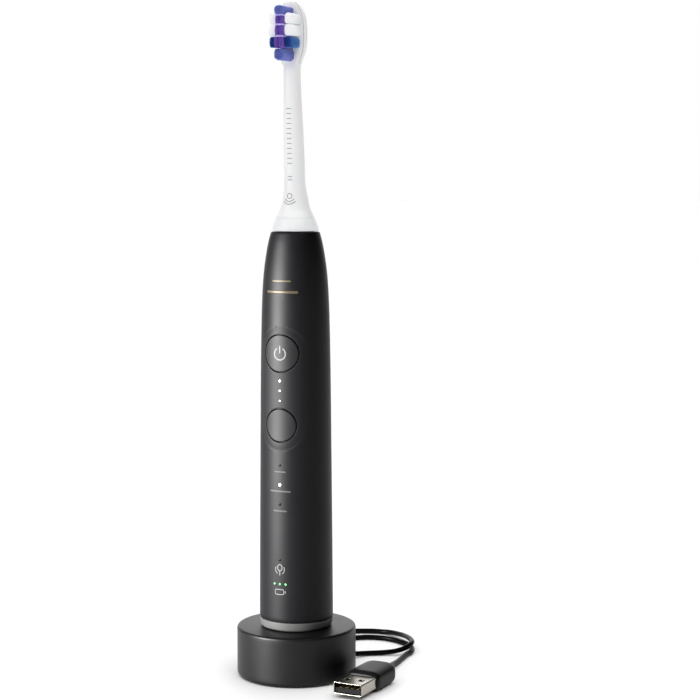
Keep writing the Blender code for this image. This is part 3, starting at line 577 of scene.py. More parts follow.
@dataclass
class ChargingBase:
    """The round base: shell with its post, strain relief, foot ring and inner parts."""

    radius: float = 23.5
    height: float = 19.6
    wall: float = 1.8
    lift: float = 0.4
    post_radius: float = 3.4
    post_height: float = 7.4
    post_wall: float = 0.8
    exit_angle: float = math.radians(67.5)
    exit_height: float = 2.2
    notch: float = 2.55
    notch_reach: float = 3.0      # how far each side of the cord the points are close together
    top_round: float = 1.15
    foot_round: float = 1.5
    body: str = "charger"

    def build(self) -> None:
        """Make every piece of the base and dress the inner ones."""
        dress(self.shell(), BASE, self.body, Slot.BLACK, "charger_shell")
        dress(self.strain_relief(), RUBBER, self.body, Slot.RUBBER, "cord_strain_relief")
        dress_nodes({"charger_base_plate": INNER_BLACK, "foot_ring": RUBBER, "charger_coil": COPPER,
                     "charger_ferrite_core": FERRITE, "charger_circuit_board": BOARD})

    def shell(self) -> bpy.types.Object:
        """The turned shell. Its lower rim rises over the cord in the arch sqrt(notch^2 - s^2), where
        s is the distance round from the cord, and the wall above is squeezed in proportion.

        Returns:
            The shell.
        """
        roof, top = self.height - self.wall, self.height + self.post_height
        hollow = self.post_radius - self.post_wall
        corners = [(0.001, top, 0.0), (self.post_radius, top, 0.7), (self.post_radius, self.height, 0.35),
                   (self.radius, self.height, self.top_round), (self.radius, self.lift, self.foot_round),
                   (self.radius - self.wall, self.lift, 0.25), (self.radius - self.wall, roof, 0.8),
                   (hollow, roof, 0.2), (hollow, top - self.post_wall, 0.3),
                   (0.001, top - self.post_wall, 0.0)]
        profile = filleted(corners, 8)
        rows = np.linspace(self.height - self.top_round, self.lift + self.foot_round, 14)[1:-1]
        first = int(np.argmax((profile[:, 0] > self.radius - 1e-6) & (profile[:, 1] < self.height - 1.1)))
        side = np.stack([np.full(len(rows), self.radius), rows], axis=-1)
        profile = np.insert(profile, first + 1, side, axis=0)
        close = self.notch_reach / self.radius
        near = np.linspace(-self.notch_reach, self.notch_reach, 49) / self.radius
        rest = np.linspace(close, math.tau - close, 190)[1:-1]
        angle = self.exit_angle + np.r_[near, rest]
        round_way = (angle - self.exit_angle + math.pi) % math.tau - math.pi
        along = round_way * self.radius
        arch = self.exit_height + np.sqrt(np.clip(self.notch ** 2 - along ** 2, 0, None))
        low = np.where(np.abs(along) < self.notch, arch, self.lift)
        radius, height = profile[:, :1], profile[:, 1:]
        squeezed = low + (height - self.lift) * (roof - low) / (roof - self.lift)
        z = np.where(height < roof, squeezed, height)
        points = np.stack([radius * np.cos(angle), radius * np.sin(angle), z], axis=-1)
        return make_mesh("base_shell", points, grid_faces(len(profile), len(angle), False, True))

    def strain_relief(self) -> bpy.types.Object:
        """A tapered rubber sleeve along the cord's way out, with four shallow ribs.

        Returns:
            The sleeve.
        """
        root, tip, thick, thin = 19.4, 29.0, 2.05, 1.45
        reach = np.linspace(root, tip, 60)
        taper = thick + (thin - thick) * smooth_step((reach - 22.0) / 7.0)
        ribs = 0.13 * np.clip(np.cos((reach - 24.3) * math.tau / 1.3), 0, 1) * (reach > 24.0) * (reach < 28.6)
        outer = np.stack([taper - ribs, reach], axis=-1)
        profile = np.vstack([[(0.001, root)], outer, [(1.2, tip + 0.12), (0.001, tip + 0.12)]])
        grid = turn(profile, 48)
        across, up, out = grid[..., 0], grid[..., 1], grid[..., 2]
        c, s = math.cos(self.exit_angle), math.sin(self.exit_angle)
        points = np.stack([out * c - across * s, out * s + across * c, up + self.exit_height], axis=-1)
        return make_mesh("strain_relief_sleeve", points, grid_faces(len(profile), 48, False, True))


def dress_nodes(finishes: dict[str, Finish]) -> None:
    """Put a finish on CAD nodes that stay.

    Args:
        finishes: The finish of each node's name.
    """
    for name, finish in finishes.items():
        slots = bpy.data.objects[name].material_slots
        for slot in slots:
            slot.material = finish.material()


# ---------------------------------------------------------------- cord and plug

@dataclass
class ChargingCord:
    """The charging cord: two free stretches with a neat coil between them, held by a tie."""

    diameter: float = 2.1
    coil_centre: Pair = (-20.1, 40.4)
    coil_outer: float = 13.6      # centre line of the outermost turn
    turns_per_layer: float = 3.035
    drop_turn: float = 60.0       # degrees in which it steps down a layer
    start_angle: float = 116.5
    top: float = 7.4
    body: str = "charger"
    near: tuple[Triple, ...] = (
        (11.2, 27.0, 2.2), (12.3, 29.3, 1.6), (15.4, 33.8, 1.1), (19.4, 36.3, 1.1), (22.6, 38.2, 1.25),
        (25.5, 39.4, 1.7), (28.0, 41.2, 2.4), (29.5, 43.7, 3.1), (29.7, 46.7, 3.6), (28.6, 50.3, 3.6),
        (25.1, 55.7, 3.2), (20.6, 61.1, 2.5), (16.0, 64.9, 1.9), (11.5, 67.6, 1.4), (7.5, 68.3, 1.1),
        (3.6, 67.6, 1.1), (-0.6, 66.0, 1.1), (-4.4, 64.0, 1.15), (-7.9, 62.0, 1.5), (-11.2, 60.2, 2.5),
        (-14.6, 58.4, 4.3), (-18.0, 56.6, 6.1))
    far: tuple[Triple, ...] = (
        (-4.6, 45.8, 1.1), (-3.4, 49.0, 1.1), (-1.2, 52.3, 1.1), (3.9, 56.6, 1.1), (7.8, 58.2, 1.1),
        (12.2, 58.8, 1.1), (16.4, 58.2, 1.1), (20.5, 56.6, 1.1), (24.2, 54.5, 1.1), (27.4, 51.6, 1.1),
        (29.8, 47.7, 1.1), (31.0, 43.4, 1.1), (31.0, 38.8, 1.15), (31.5, 32.8, 1.15), (32.2, 26.6, 1.3),
        (32.7, 20.6, 1.8), (33.6, 14.6, 2.7), (34.7, 9.6, 3.6), (35.36, 5.7, 3.95))

    def coil(self) -> np.ndarray:
        """Four layers of flat spirals, from the top one down. The radius falls or rises by one
        diameter a turn, and between layers the cord steps down a diameter at a steady radius.

        Returns:
            Points along the coiled stretch.
        """
        sweep = 360.0 * self.turns_per_layer
        inner = self.coil_outer - self.diameter * self.turns_per_layer
        leg = sweep + self.drop_turn
        angle = np.arange(0.0, 4 * sweep + 3 * self.drop_turn, 9.0)
        layer = np.minimum(angle // leg, 3)
        share = np.clip((angle - layer * leg) / sweep, 0, 1)
        inward = layer % 2 == 0
        radius = np.where(inward, self.coil_outer + (inner - self.coil_outer) * share,
                          inner + (self.coil_outer - inner) * share)
        drop = smooth_step((angle - layer * leg - sweep) / self.drop_turn)
        height = self.top - self.diameter * (layer + drop)
        way = np.radians(self.start_angle + angle)
        return np.stack([self.coil_centre[0] + radius * np.cos(way),
                         self.coil_centre[1] + radius * np.sin(way), height], axis=-1)

    def route(self) -> np.ndarray:
        """The whole centre line, from the base to the plug."""
        lead_in, lead_out = [(-22.6, 54.3, 7.3)], [(-5.9, 41.1, 1.1)]
        knots = np.vstack([self.near, lead_in, self.coil(), lead_out, self.far])
        return through(knots, 5)

    def build(self, with_pieces: Sequence[bpy.types.Object]) -> float:
        """Args:
            with_pieces: The plug's pieces; not used.

        Returns:
            The cord's length in metres.
        """
        line = self.route() * MM
        curve = bpy.data.curves.new("charging_cord", "CURVE")
        curve.dimensions = "3D"
        curve.bevel_depth = self.diameter / 2 * MM
        curve.bevel_resolution = 4
        curve.use_fill_caps = True
        spline = curve.splines.new("POLY")
        spline.points.add(len(line) - 1)
        spline.points.foreach_set("co", np.c_[line, np.ones(len(line))].ravel())
        spline.use_smooth = True
        item = bpy.data.objects.new("charging_cord", curve)
        bpy.context.scene.collection.objects.link(item)
        dress(item, CORD_BLACK, self.body, Slot.CORD, "charging_cord_near", "charging_cord_coil",
              "charging_cord_far")
        length = float(np.linalg.norm(np.diff(line, axis=0), axis=1).sum())
        tie = dress(self.tie(), RUBBER, self.body, Slot.RUBBER)
        return length

    def tie(self) -> bpy.types.Object:
        """A strap round the bundle of turns: a rounded rectangle, |u/a|^6 + |v/b|^6 = 1, in a plane
        through the coil's axis, given a width along the turns.

        Returns:
            The strap.
        """
        inner = self.coil_outer - self.diameter * self.turns_per_layer
        middle, half_wide = (self.coil_outer + inner) / 2, (self.coil_outer - inner) / 2 + 1.45
        low, high = 0.42, self.top + self.diameter / 2 + 0.1
        t = np.arange(96) * math.tau / 96
        c, s = np.cos(t), np.sin(t)
        size = (np.abs(c) ** 6 + np.abs(s) ** 6) ** (-1 / 6)
        thick = np.array([0.0, 0.0, 0.4, 0.4])[:, None]
        side = np.array([-2.2, 2.2, 2.2, -2.2])[:, None]
        out = middle + (half_wide + thick) * c * size
        up = (low + high) / 2 + ((high - low) / 2 + thick) * s * size
        where = math.radians(200.0)
        points = np.stack([self.coil_centre[0] + out * math.cos(where) - side * math.sin(where),
                           self.coil_centre[1] + out * math.sin(where) + side * math.cos(where),
                           np.broadcast_to(up, out.shape)], axis=-1)
        return make_mesh("coil_tie", points, grid_faces(4, 96, True, True))


@dataclass
class Plug:
    """The flat plug on the cord's end: grip, stamped metal shell, tongue and contacts."""

    mouth: Triple = (34.15, -25.6, 3.95)
    turn: float = math.radians(-2.2)
    shell_size: Triple = (12.0, 16.0, 4.5)
    grip_front: float = 12.0
    grip_rear: float = 31.0
    grip_front_half: Pair = (6.3, 2.75)   # half width and height at its front, before it swells
    grip_swell: Pair = (0.7, 1.2)
    shell_round: float = 0.55
    sheet: float = 0.3
    window_middle: float = 2.875  # either side of the middle
    window_half: float = 1.03
    window_span: Pair = (4.6, 7.1)
    body: str = "charger"

    def placed(self, points: np.ndarray) -> np.ndarray:
        """Points from the plug's own axes, which run from its mouth back along +Y, to the row's."""
        c, s = math.cos(self.turn), math.sin(self.turn)
        x, y = points[..., 0], points[..., 1]
        return np.stack([self.mouth[0] + x * c - y * s, self.mouth[1] + x * s + y * c,
                         self.mouth[2] + points[..., 2]], axis=-1)

    def build(self) -> list[bpy.types.Object]:
        """Make the grip and the shell and dress what stays of the CAD.

        Returns:
            Every piece of the plug.
        """
        grip = dress(self.grip(), GRIP, self.body, Slot.BLACK, "usb_grip")
        shell = dress(self.shell(), NICKEL, self.body, Slot.STEEL, "usb_shell")
        contacts = [f"usb_contact_{number}" for number in range(1, 5)]
        # the contacts get the gold darkened as painted shade
        dress_nodes({"usb_tongue": TONGUE, **{name: CONTACT_GOLD_IN_PAINTED_SHADE for name in contacts}})
        return [grip, shell] + [bpy.data.objects[name] for name in ["usb_tongue", *contacts]]

    def grip(self) -> bpy.types.Object:
        """The moulded grip: superellipse sections |x/a|^n + |z/b|^n = 1 along Y. The half width a and
        half height b swell from the front and close over the rear in a round.

        Returns:
            The grip.
        """
        span = self.grip_rear - self.grip_front
        share = np.r_[0.0, 0.5 - 0.5 * np.cos(np.linspace(0, math.pi, 70))]
        y = self.grip_front + span * share
        front = 1 - np.clip(1 - (y - self.grip_front) / 2.6, 0, 1) ** 2.4
        rear_wide = np.clip((y - (self.grip_rear - 5.0)) / 5.0, 0, 1)
        rear_high = np.clip((y - (self.grip_rear - 3.2)) / 3.2, 0, 1)
        a = (self.grip_front_half[0] + self.grip_swell[0] * front) * (1 - rear_wide ** 2.3) ** (1 / 2.3)
        b = (self.grip_front_half[1] + self.grip_swell[1] * front) * (1 - rear_high ** 2.2) ** (1 / 2.2)
        a[0] = b[0] = 0.001
        t = np.arange(128) * math.tau / 128
        power = 3.4
        c, s = np.cos(t), np.sin(t)
        size = (np.abs(c) ** power + np.abs(s) ** power) ** (-1 / power)
        points = np.stack([a[:, None] * c * size, np.broadcast_to(y[:, None], (len(y), 128)),
                           b[:, None] * s * size], axis=-1)
        return make_mesh("plug_grip", self.placed(points), grid_faces(len(y), 128, False, True), sharp=50)

    def shell(self) -> bpy.types.Object:
        """The stamped shell: a rounded rectangle carried along Y, with two windows left open above
        and below, and the sheet's thickness inside it.

        Returns:
            The shell.
        """
        half_wide, depth, half_high = self.shell_size[0] / 2, self.shell_size[1], self.shell_size[2] / 2
        fillet = self.shell_round
        flat = np.array([-4.9, -4.15, -3.9, -1.85, -1.6, -0.8, 0.0, 0.8, 1.6, 1.85, 3.9, 4.15, 4.9])
        arc = np.linspace(0, math.pi / 2, 7)
        corner = np.stack([half_wide - fillet + fillet * np.sin(arc),
                           half_high - fillet + fillet * np.cos(arc)], axis=-1)
        above = np.stack([flat, np.full(len(flat), half_high)], axis=-1)
        below = np.stack([flat[::-1], np.full(len(flat), -half_high)], axis=-1)
        ring = np.vstack([above, corner, corner[::-1] * (1, -1), below, -corner, -corner[::-1] * (1, -1)])
        y = np.array([0.0, 0.12, 0.4, 2.0, 4.35, 4.6, 7.1, 7.35, 9.0, 11.0, 12.6, depth])
        inward = np.array([0.12, 0.03] + [0.0] * (len(y) - 2))
        centre = np.array([half_wide, half_high])
        scaled = ring[None] * (1 - inward[:, None, None] / centre)
        points = np.stack([scaled[..., 0], np.broadcast_to(y[:, None], scaled.shape[:2]),
                           scaled[..., 1]], axis=-1)
        faces = grid_faces(len(y), len(ring), wrap_columns=True)
        middle = points.reshape(-1, 3)[faces].mean(axis=1)
        start, end = self.window_span
        open_ = ((np.abs(np.abs(middle[:, 0]) - self.window_middle) < self.window_half)
                 & (middle[:, 1] > start) & (middle[:, 1] < end) & (np.abs(middle[:, 2]) > half_high - 0.1))
        item = make_mesh("plug_shell", self.placed(points), faces[~open_], closed=True)
        thicken(item, self.sheet)
        return item


# ---------------------------------------------------------------- handle

@dataclass
class Handle:
    """The handle: its shell, foot cap, control panel, printed marks and lights."""

    bottom: float = 23.5
    top: float = 175.1
    wall: float = 1.5
    shaft_hole: float = 5.4
    panel_span: Pair = (90.8, 139.4)
    panel_half: float = 10.2
    panel_proud: float = 0.13
    panel_feather: float = 2.6
    well_depth: float = 1.2
    power: Pair = (128.8, 7.15)     # height, radius
    mode: Pair = (100.9, 6.4)
    button_gap: float = 0.3
    button_proud: float = 0.25
    body: str = "handle"

    def build(self) -> None:
        """Make every piece of the handle and dress the inner ones."""
        dress(self.housing(), HOUSING, self.body, Slot.BLACK, "handle_housing")
        dress(self.panel(), PANEL, self.body, Slot.RUBBER, "button_panel")
        dress(self.end_cap(), END_CAP, self.body, Slot.GREY, "end_cap")
        dress(self.shaft_seal(), RUBBER, self.body, Slot.RUBBER, "shaft_seal")
        for name, (height, radius) in (("power_button", self.power), ("mode_button", self.mode)):
            dress(self.button(name + "_cap", height, radius), BUTTON, name, Slot.RUBBER, name)
        self.marks()
        self.lights()
        dress_nodes({
            "end_cap_seal": RUBBER, "receiving_coil": COPPER, "internal_frame": INNER_GREY,
            "battery_cell": SLEEVE, "circuit_board": BOARD, "power_switch": STEEL, "mode_switch": STEEL,
            "intensity_light_guide": GUIDE, "mode_light_guide": GUIDE, "charge_light_guide": GUIDE,
            "motor_core": STEEL, "motor_winding": COPPER, "bearing_block": INNER_GREY,
            "shaft_bearing": STEEL})

    def inside_panel(self, x: np.ndarray, z: np.ndarray) -> np.ndarray:
        """Distance inside the panel's outline, a tall slot with round ends; negative outside it."""
        low, high = self.panel_span[0] + self.panel_half, self.panel_span[1] - self.panel_half
        return self.panel_half - np.hypot(x, z - np.clip(z, low, high))

    def housing(self) -> bpy.types.Object:
        """The turned shell. Its radius follows the stations, and is sunk below the panel by
        well_depth times a smooth step of the distance inside the panel's outline.

        Returns:
            The shell.
        """
        heights = np.r_[np.linspace(self.bottom + 0.4, 88.0, 46), np.linspace(88.8, 142.0, 88),
                        np.linspace(143.5, 174.6, 52)]
        outer = np.stack([handle_radius(heights), heights], axis=-1)
        rim = filleted([(outer[-1, 0], 174.6, 0.0), (9.42, 174.96, 0.12), (9.1, self.top, 0.15),
                        (self.shaft_hole, self.top, 0.2), (self.shaft_hole, 172.7, 0.1)], 4)
        inner_heights = np.array([167.0, 160.5, 152.5, 141.0, 125.0, 85.0, 31.0])
        inner = np.stack([handle_radius(inner_heights) - self.wall, inner_heights], axis=-1)
        foot = np.array([(13.1, self.bottom), (14.2, self.bottom), (14.4, self.bottom + 0.12)])
        profile = np.vstack([outer, rim[4:], [(6.9, 172.7), (8.6, 170.6)], inner, foot])
        count = 256
        grid = turn(profile, count)
        x, y, z = grid[..., 0], grid[..., 1], grid[..., 2]
        depth = self.well_depth * smooth_step((self.inside_panel(x, z) - 0.5) / 1.0)
        depth = np.where((y < 0) & (np.arange(len(profile)) < len(outer))[:, None], depth, 0.0)
        radius = np.hypot(x, y)
        grid[..., 0], grid[..., 1] = x * (1 - depth / radius), y * (1 - depth / radius)
        return make_mesh("handle_shell", grid, grid_faces(len(profile), count, True, True))

    def half_panel(self, hole: Pair, upper: bool) -> np.ndarray:
        """Half of the panel: straight lines from the button's hole out to the outline, each raised
        by the feathered edge, with a rounded lip and a wall down into the hole.

        Args:
            hole: The button's height and radius.
            upper: The half with the power button.

        Returns:
            Grid of points.
        """
        seam = sum(self.panel_span) / 2
        sign = 1.0 if upper else -1.0
        end = self.panel_span[1] - self.panel_half if upper else self.panel_span[0] + self.panel_half
        side = np.linspace(seam, end, 34)[:-1]
        around = circle(0.0, end, self.panel_half, 0, 180, 90)
        around[:, 1] = end + sign * np.abs(around[:, 1] - end)
        across = np.linspace(-self.panel_half, self.panel_half, 41)[1:-1]
        edge = np.vstack([np.stack([np.full(len(side), self.panel_half), side], axis=-1), around,
                          np.stack([np.full(len(side), -self.panel_half), side[::-1]], axis=-1),
                          np.stack([across, np.full(len(across), seam)], axis=-1)])
        centre, radius = np.array([0.0, hole[0]]), hole[1] + self.button_gap
        ray = edge - centre
        inner = centre + ray / np.linalg.norm(ray, axis=1, keepdims=True) * radius
        rings = 26
        share = np.r_[0.0, 0.0, 0.0, 0.0, 0.012, 0.03, np.linspace(0.06, 1.0, rings)]
        drop = np.r_[-1.0, -0.6, -0.25, -0.1, -0.035, -0.008, np.zeros(rings)]
        flat = inner[None] + (edge - inner)[None] * share[:, None, None]
        x, z = flat[..., 0], flat[..., 1]
        lift = (self.panel_proud + 0.03) * smooth_step(self.inside_panel(x, z) / self.panel_feather) - 0.03
        return np.stack([x, handle_front(x, z, lift + drop[:, None]), z], axis=-1)

    def panel(self) -> bpy.types.Object:
        """The soft panel round the two buttons, from its two halves.

        Returns:
            The panel.
        """
        grids = [self.half_panel(self.power, True), self.half_panel(self.mode, False)]
        faces, start = [], 0
        for grid in grids:
            own = grid_faces(*grid.shape[:2], wrap_columns=True)
            faces.append(facing_front(grid, own) + start)
            start += grid.shape[0] * grid.shape[1]
        points = np.vstack([grid.reshape(-1, 3) for grid in grids])
        item = make_mesh("control_panel", points, np.vstack(faces), closed=False, sharp=60)
        merge_doubles(item.data, outwards=False)
        thicken(item, 0.12)
        return item

    def button(self, name: str, height: float, radius: float) -> bpy.types.Object:
        """A button cap: rings about its middle that follow the handle, dished a little, rounded over
        at the edge, with a wall and a stem behind.

        Args:
            name: The piece's name.
            height: Its middle.
            radius: Its radius.

        Returns:
            The button.
        """
        edge = radius - 0.03
        ring = np.r_[0.001, np.linspace(0.06, 1.0, 18) * (edge - 0.4)]
        turnover = np.linspace(0.0, math.pi / 2, 7)[1:]
        rho = np.r_[ring, edge - 0.4 + 0.4 * np.sin(turnover), edge, edge - 0.1, 1.5, 1.5, 0.001]
        dish = -0.05 * (1 - (ring / edge) ** 2)
        offset = np.r_[dish, -0.28 * (1 - np.cos(turnover)), -0.9, -1.6, -1.6, 0.0, 0.0] + self.button_proud
        a = np.arange(96) * math.tau / 96
        x, z = rho[:, None] * np.cos(a), height + rho[:, None] * np.sin(a)
        y = handle_front(x, z, offset[:, None])
        y[-2:] = -10.6
        points = np.stack([x, y, z], axis=-1)
        return make_mesh(name, points, grid_faces(len(rho), 96, False, True))

    def end_cap(self) -> bpy.types.Object:
        """The grey foot cap with the charging socket in its middle."""
        rim, bottom, socket, roof = 23.2, 19.9, 3.9, 28.6
        corners = [(0.001, roof + 1.0, 0), (4.8, roof + 1.0, 0.3), (4.8, 21.5, 0.2), (9.2, 21.5, 0.2),
                   (9.2, 27.2, 0.3), (12.6, 27.2, 0.2), (12.6, 26.2, 0.1), (11.3, 26.2, 0.1),
                   (11.3, 24.6, 0.1), (12.6, 24.6, 0.1), (12.6, rim, 0.1), (14.42, rim, 0.25),
                   (14.14, bottom + 0.6, 0.3),
                   (13.7, bottom, 0.4), (socket + 0.4, bottom, 0.2), (socket, bottom + 0.4, 0.2),
                   (socket, roof, 0.3), (0.001, roof, 0)]
        return turned("foot_cap", filleted(corners, 5), 192)

    def shaft_seal(self) -> bpy.types.Object:
        """The rubber lip seal round the shaft."""
        corners = [(5.1, 175.0, 0.2), (5.1, 172.4, 0.1), (6.3, 172.4, 0.1), (6.3, 171.2, 0.1),
                   (2.25, 171.2, 0.1), (2.25, 174.2, 0.15), (3.2, 175.0, 0.3)]
        return turned("shaft_lip_seal", filleted(corners, 5), 72)

    def marks(self) -> None:
        """Printed marks: the power sign, plain bars for the modes, two gold bars and two small signs."""
        z = self.power[0]
        lift = self.button_proud - 0.03
        ring = stroke(circle(0.0, z - 0.15, 2.35, 125, 415), 0.5)
        bar = stroke(np.array([(0.0, z + 0.3), (0.0, z + 2.75)]), 0.5)
        sign = joined("power_sign", [printed("power_ring", ring, handle_front, lift),
                                     printed("power_bar", bar, handle_front, lift)])
        dress(sign, PRINT_WHITE, "power_button", Slot.WHITE)
        bars = {"mark_bar_upper": (156.6, 8.0, 0.7, PRINT_GOLD),
                "mark_bar_lower": (152.4, 13.4, 1.0, PRINT_GOLD),
                "mode_bar_top": (82.8, 5.0, 0.6, PRINT_DIM),
                "mode_bar_middle": (75.2, 8.8, 0.7, PRINT_DIM),
                "mode_bar_low": (67.5, 5.8, 0.6, PRINT_DIM)}
        for name, (height, width, thick, finish) in bars.items():
            half = (width - thick) / 2
            path = np.array([(-half, height), (half, height)])
            bar = printed(name, stroke(path, thick), handle_front, FLAT_MARK_LIFT)
            dress(bar, finish, self.body, Slot.WHITE)
        head = stroke(self._oval(0.0, 45.2, 0.95, 1.25), 0.35, closed=True)
        stem = stroke(np.array([(0.0, 43.8), (0.0, 42.3)]), 0.35)
        left = stroke(circle(0.0, 44.5, 1.9, 150, 235, 20), 0.3)
        right = stroke(circle(0.0, 44.5, 1.9, -55, 30, 20), 0.3)
        self._sign("care_sign", [head, stem, left, right])
        outline = stroke(self._slot(-2.0, 1.6, 34.6, 36.6, 0.5), 0.3, closed=True)
        nub = stroke(np.array([(2.25, 35.2), (2.25, 36.0)]), 0.35)
        self._sign("charge_sign", [outline, nub])

    def _sign(self, name: str, grids: Sequence[np.ndarray]) -> None:
        """One printed sign on the handle from several strokes.

        Args:
            name: The piece's name.
            grids: Its strokes.
        """
        parts = [printed(f"{name}_{k}", grid, handle_front, FLAT_MARK_LIFT) for k, grid in enumerate(grids)]
        dress(joined(name, parts), PRINT_WHITE, self.body, Slot.WHITE)

    def _oval(self, x: float, z: float, half_wide: float, half_high: float) -> np.ndarray:
        """Points (x, z) on an ellipse."""
        a = np.arange(48) * math.tau / 48
        return np.stack([x + half_wide * np.cos(a), z + half_high * np.sin(a)], axis=-1)

    def _slot(self, left: float, right: float, low: float, high: float, fillet: float) -> np.ndarray:
        """Points (x, z) on a rectangle with rounded corners."""
        spots = ((right - fillet, high - fillet, 0), (left + fillet, high - fillet, 90),
                 (left + fillet, low + fillet, 180), (right - fillet, low + fillet, 270))
        return np.vstack([circle(x, z, fillet, start, start + 90, 8) for x, z, start in spots])

    def lights(self) -> None:
        """The small lights, some of them on."""
        lit = ((0.0, 118.2, 0.46), (0.0, 114.4, 0.38), (0.0, 110.5, 0.29))
        for number, (x, z, radius) in enumerate(lit, 1):
            item = lens(f"strength_light_{number}", x, z, radius, self.panel_front, 0.06)
            dress(item, LIGHT_ON, self.body, Slot.GUIDE)
        for number, (z, finish) in enumerate(((85.4, LIGHT_OFF), (77.8, LIGHT_ON), (70.1, LIGHT_OFF)), 1):
            dress(lens(f"mode_light_{number}", 0.0, z, 0.55, handle_front, 0.05), finish, self.body,
                  Slot.GUIDE)
        dress(lens("care_light", 0.0, 48.2, 0.5, handle_front, 0.05), LIGHT_OFF, self.body, Slot.GUIDE)
        for number, x in enumerate((-2.4, 0.0, 2.4), 1):
            dress(lens(f"charge_light_{number}", x, 38.7, 0.38, handle_front, 0.05), LIGHT_GREEN, self.body,
                  Slot.GUIDE)

    def panel_front(self, x: np.ndarray, z: np.ndarray, offset: float | np.ndarray) -> np.ndarray:
        """Y of the panel's face, raised by an offset."""
        return handle_front(x, z, self.panel_proud + offset)


# ---------------------------------------------------------------- brush head and its drive

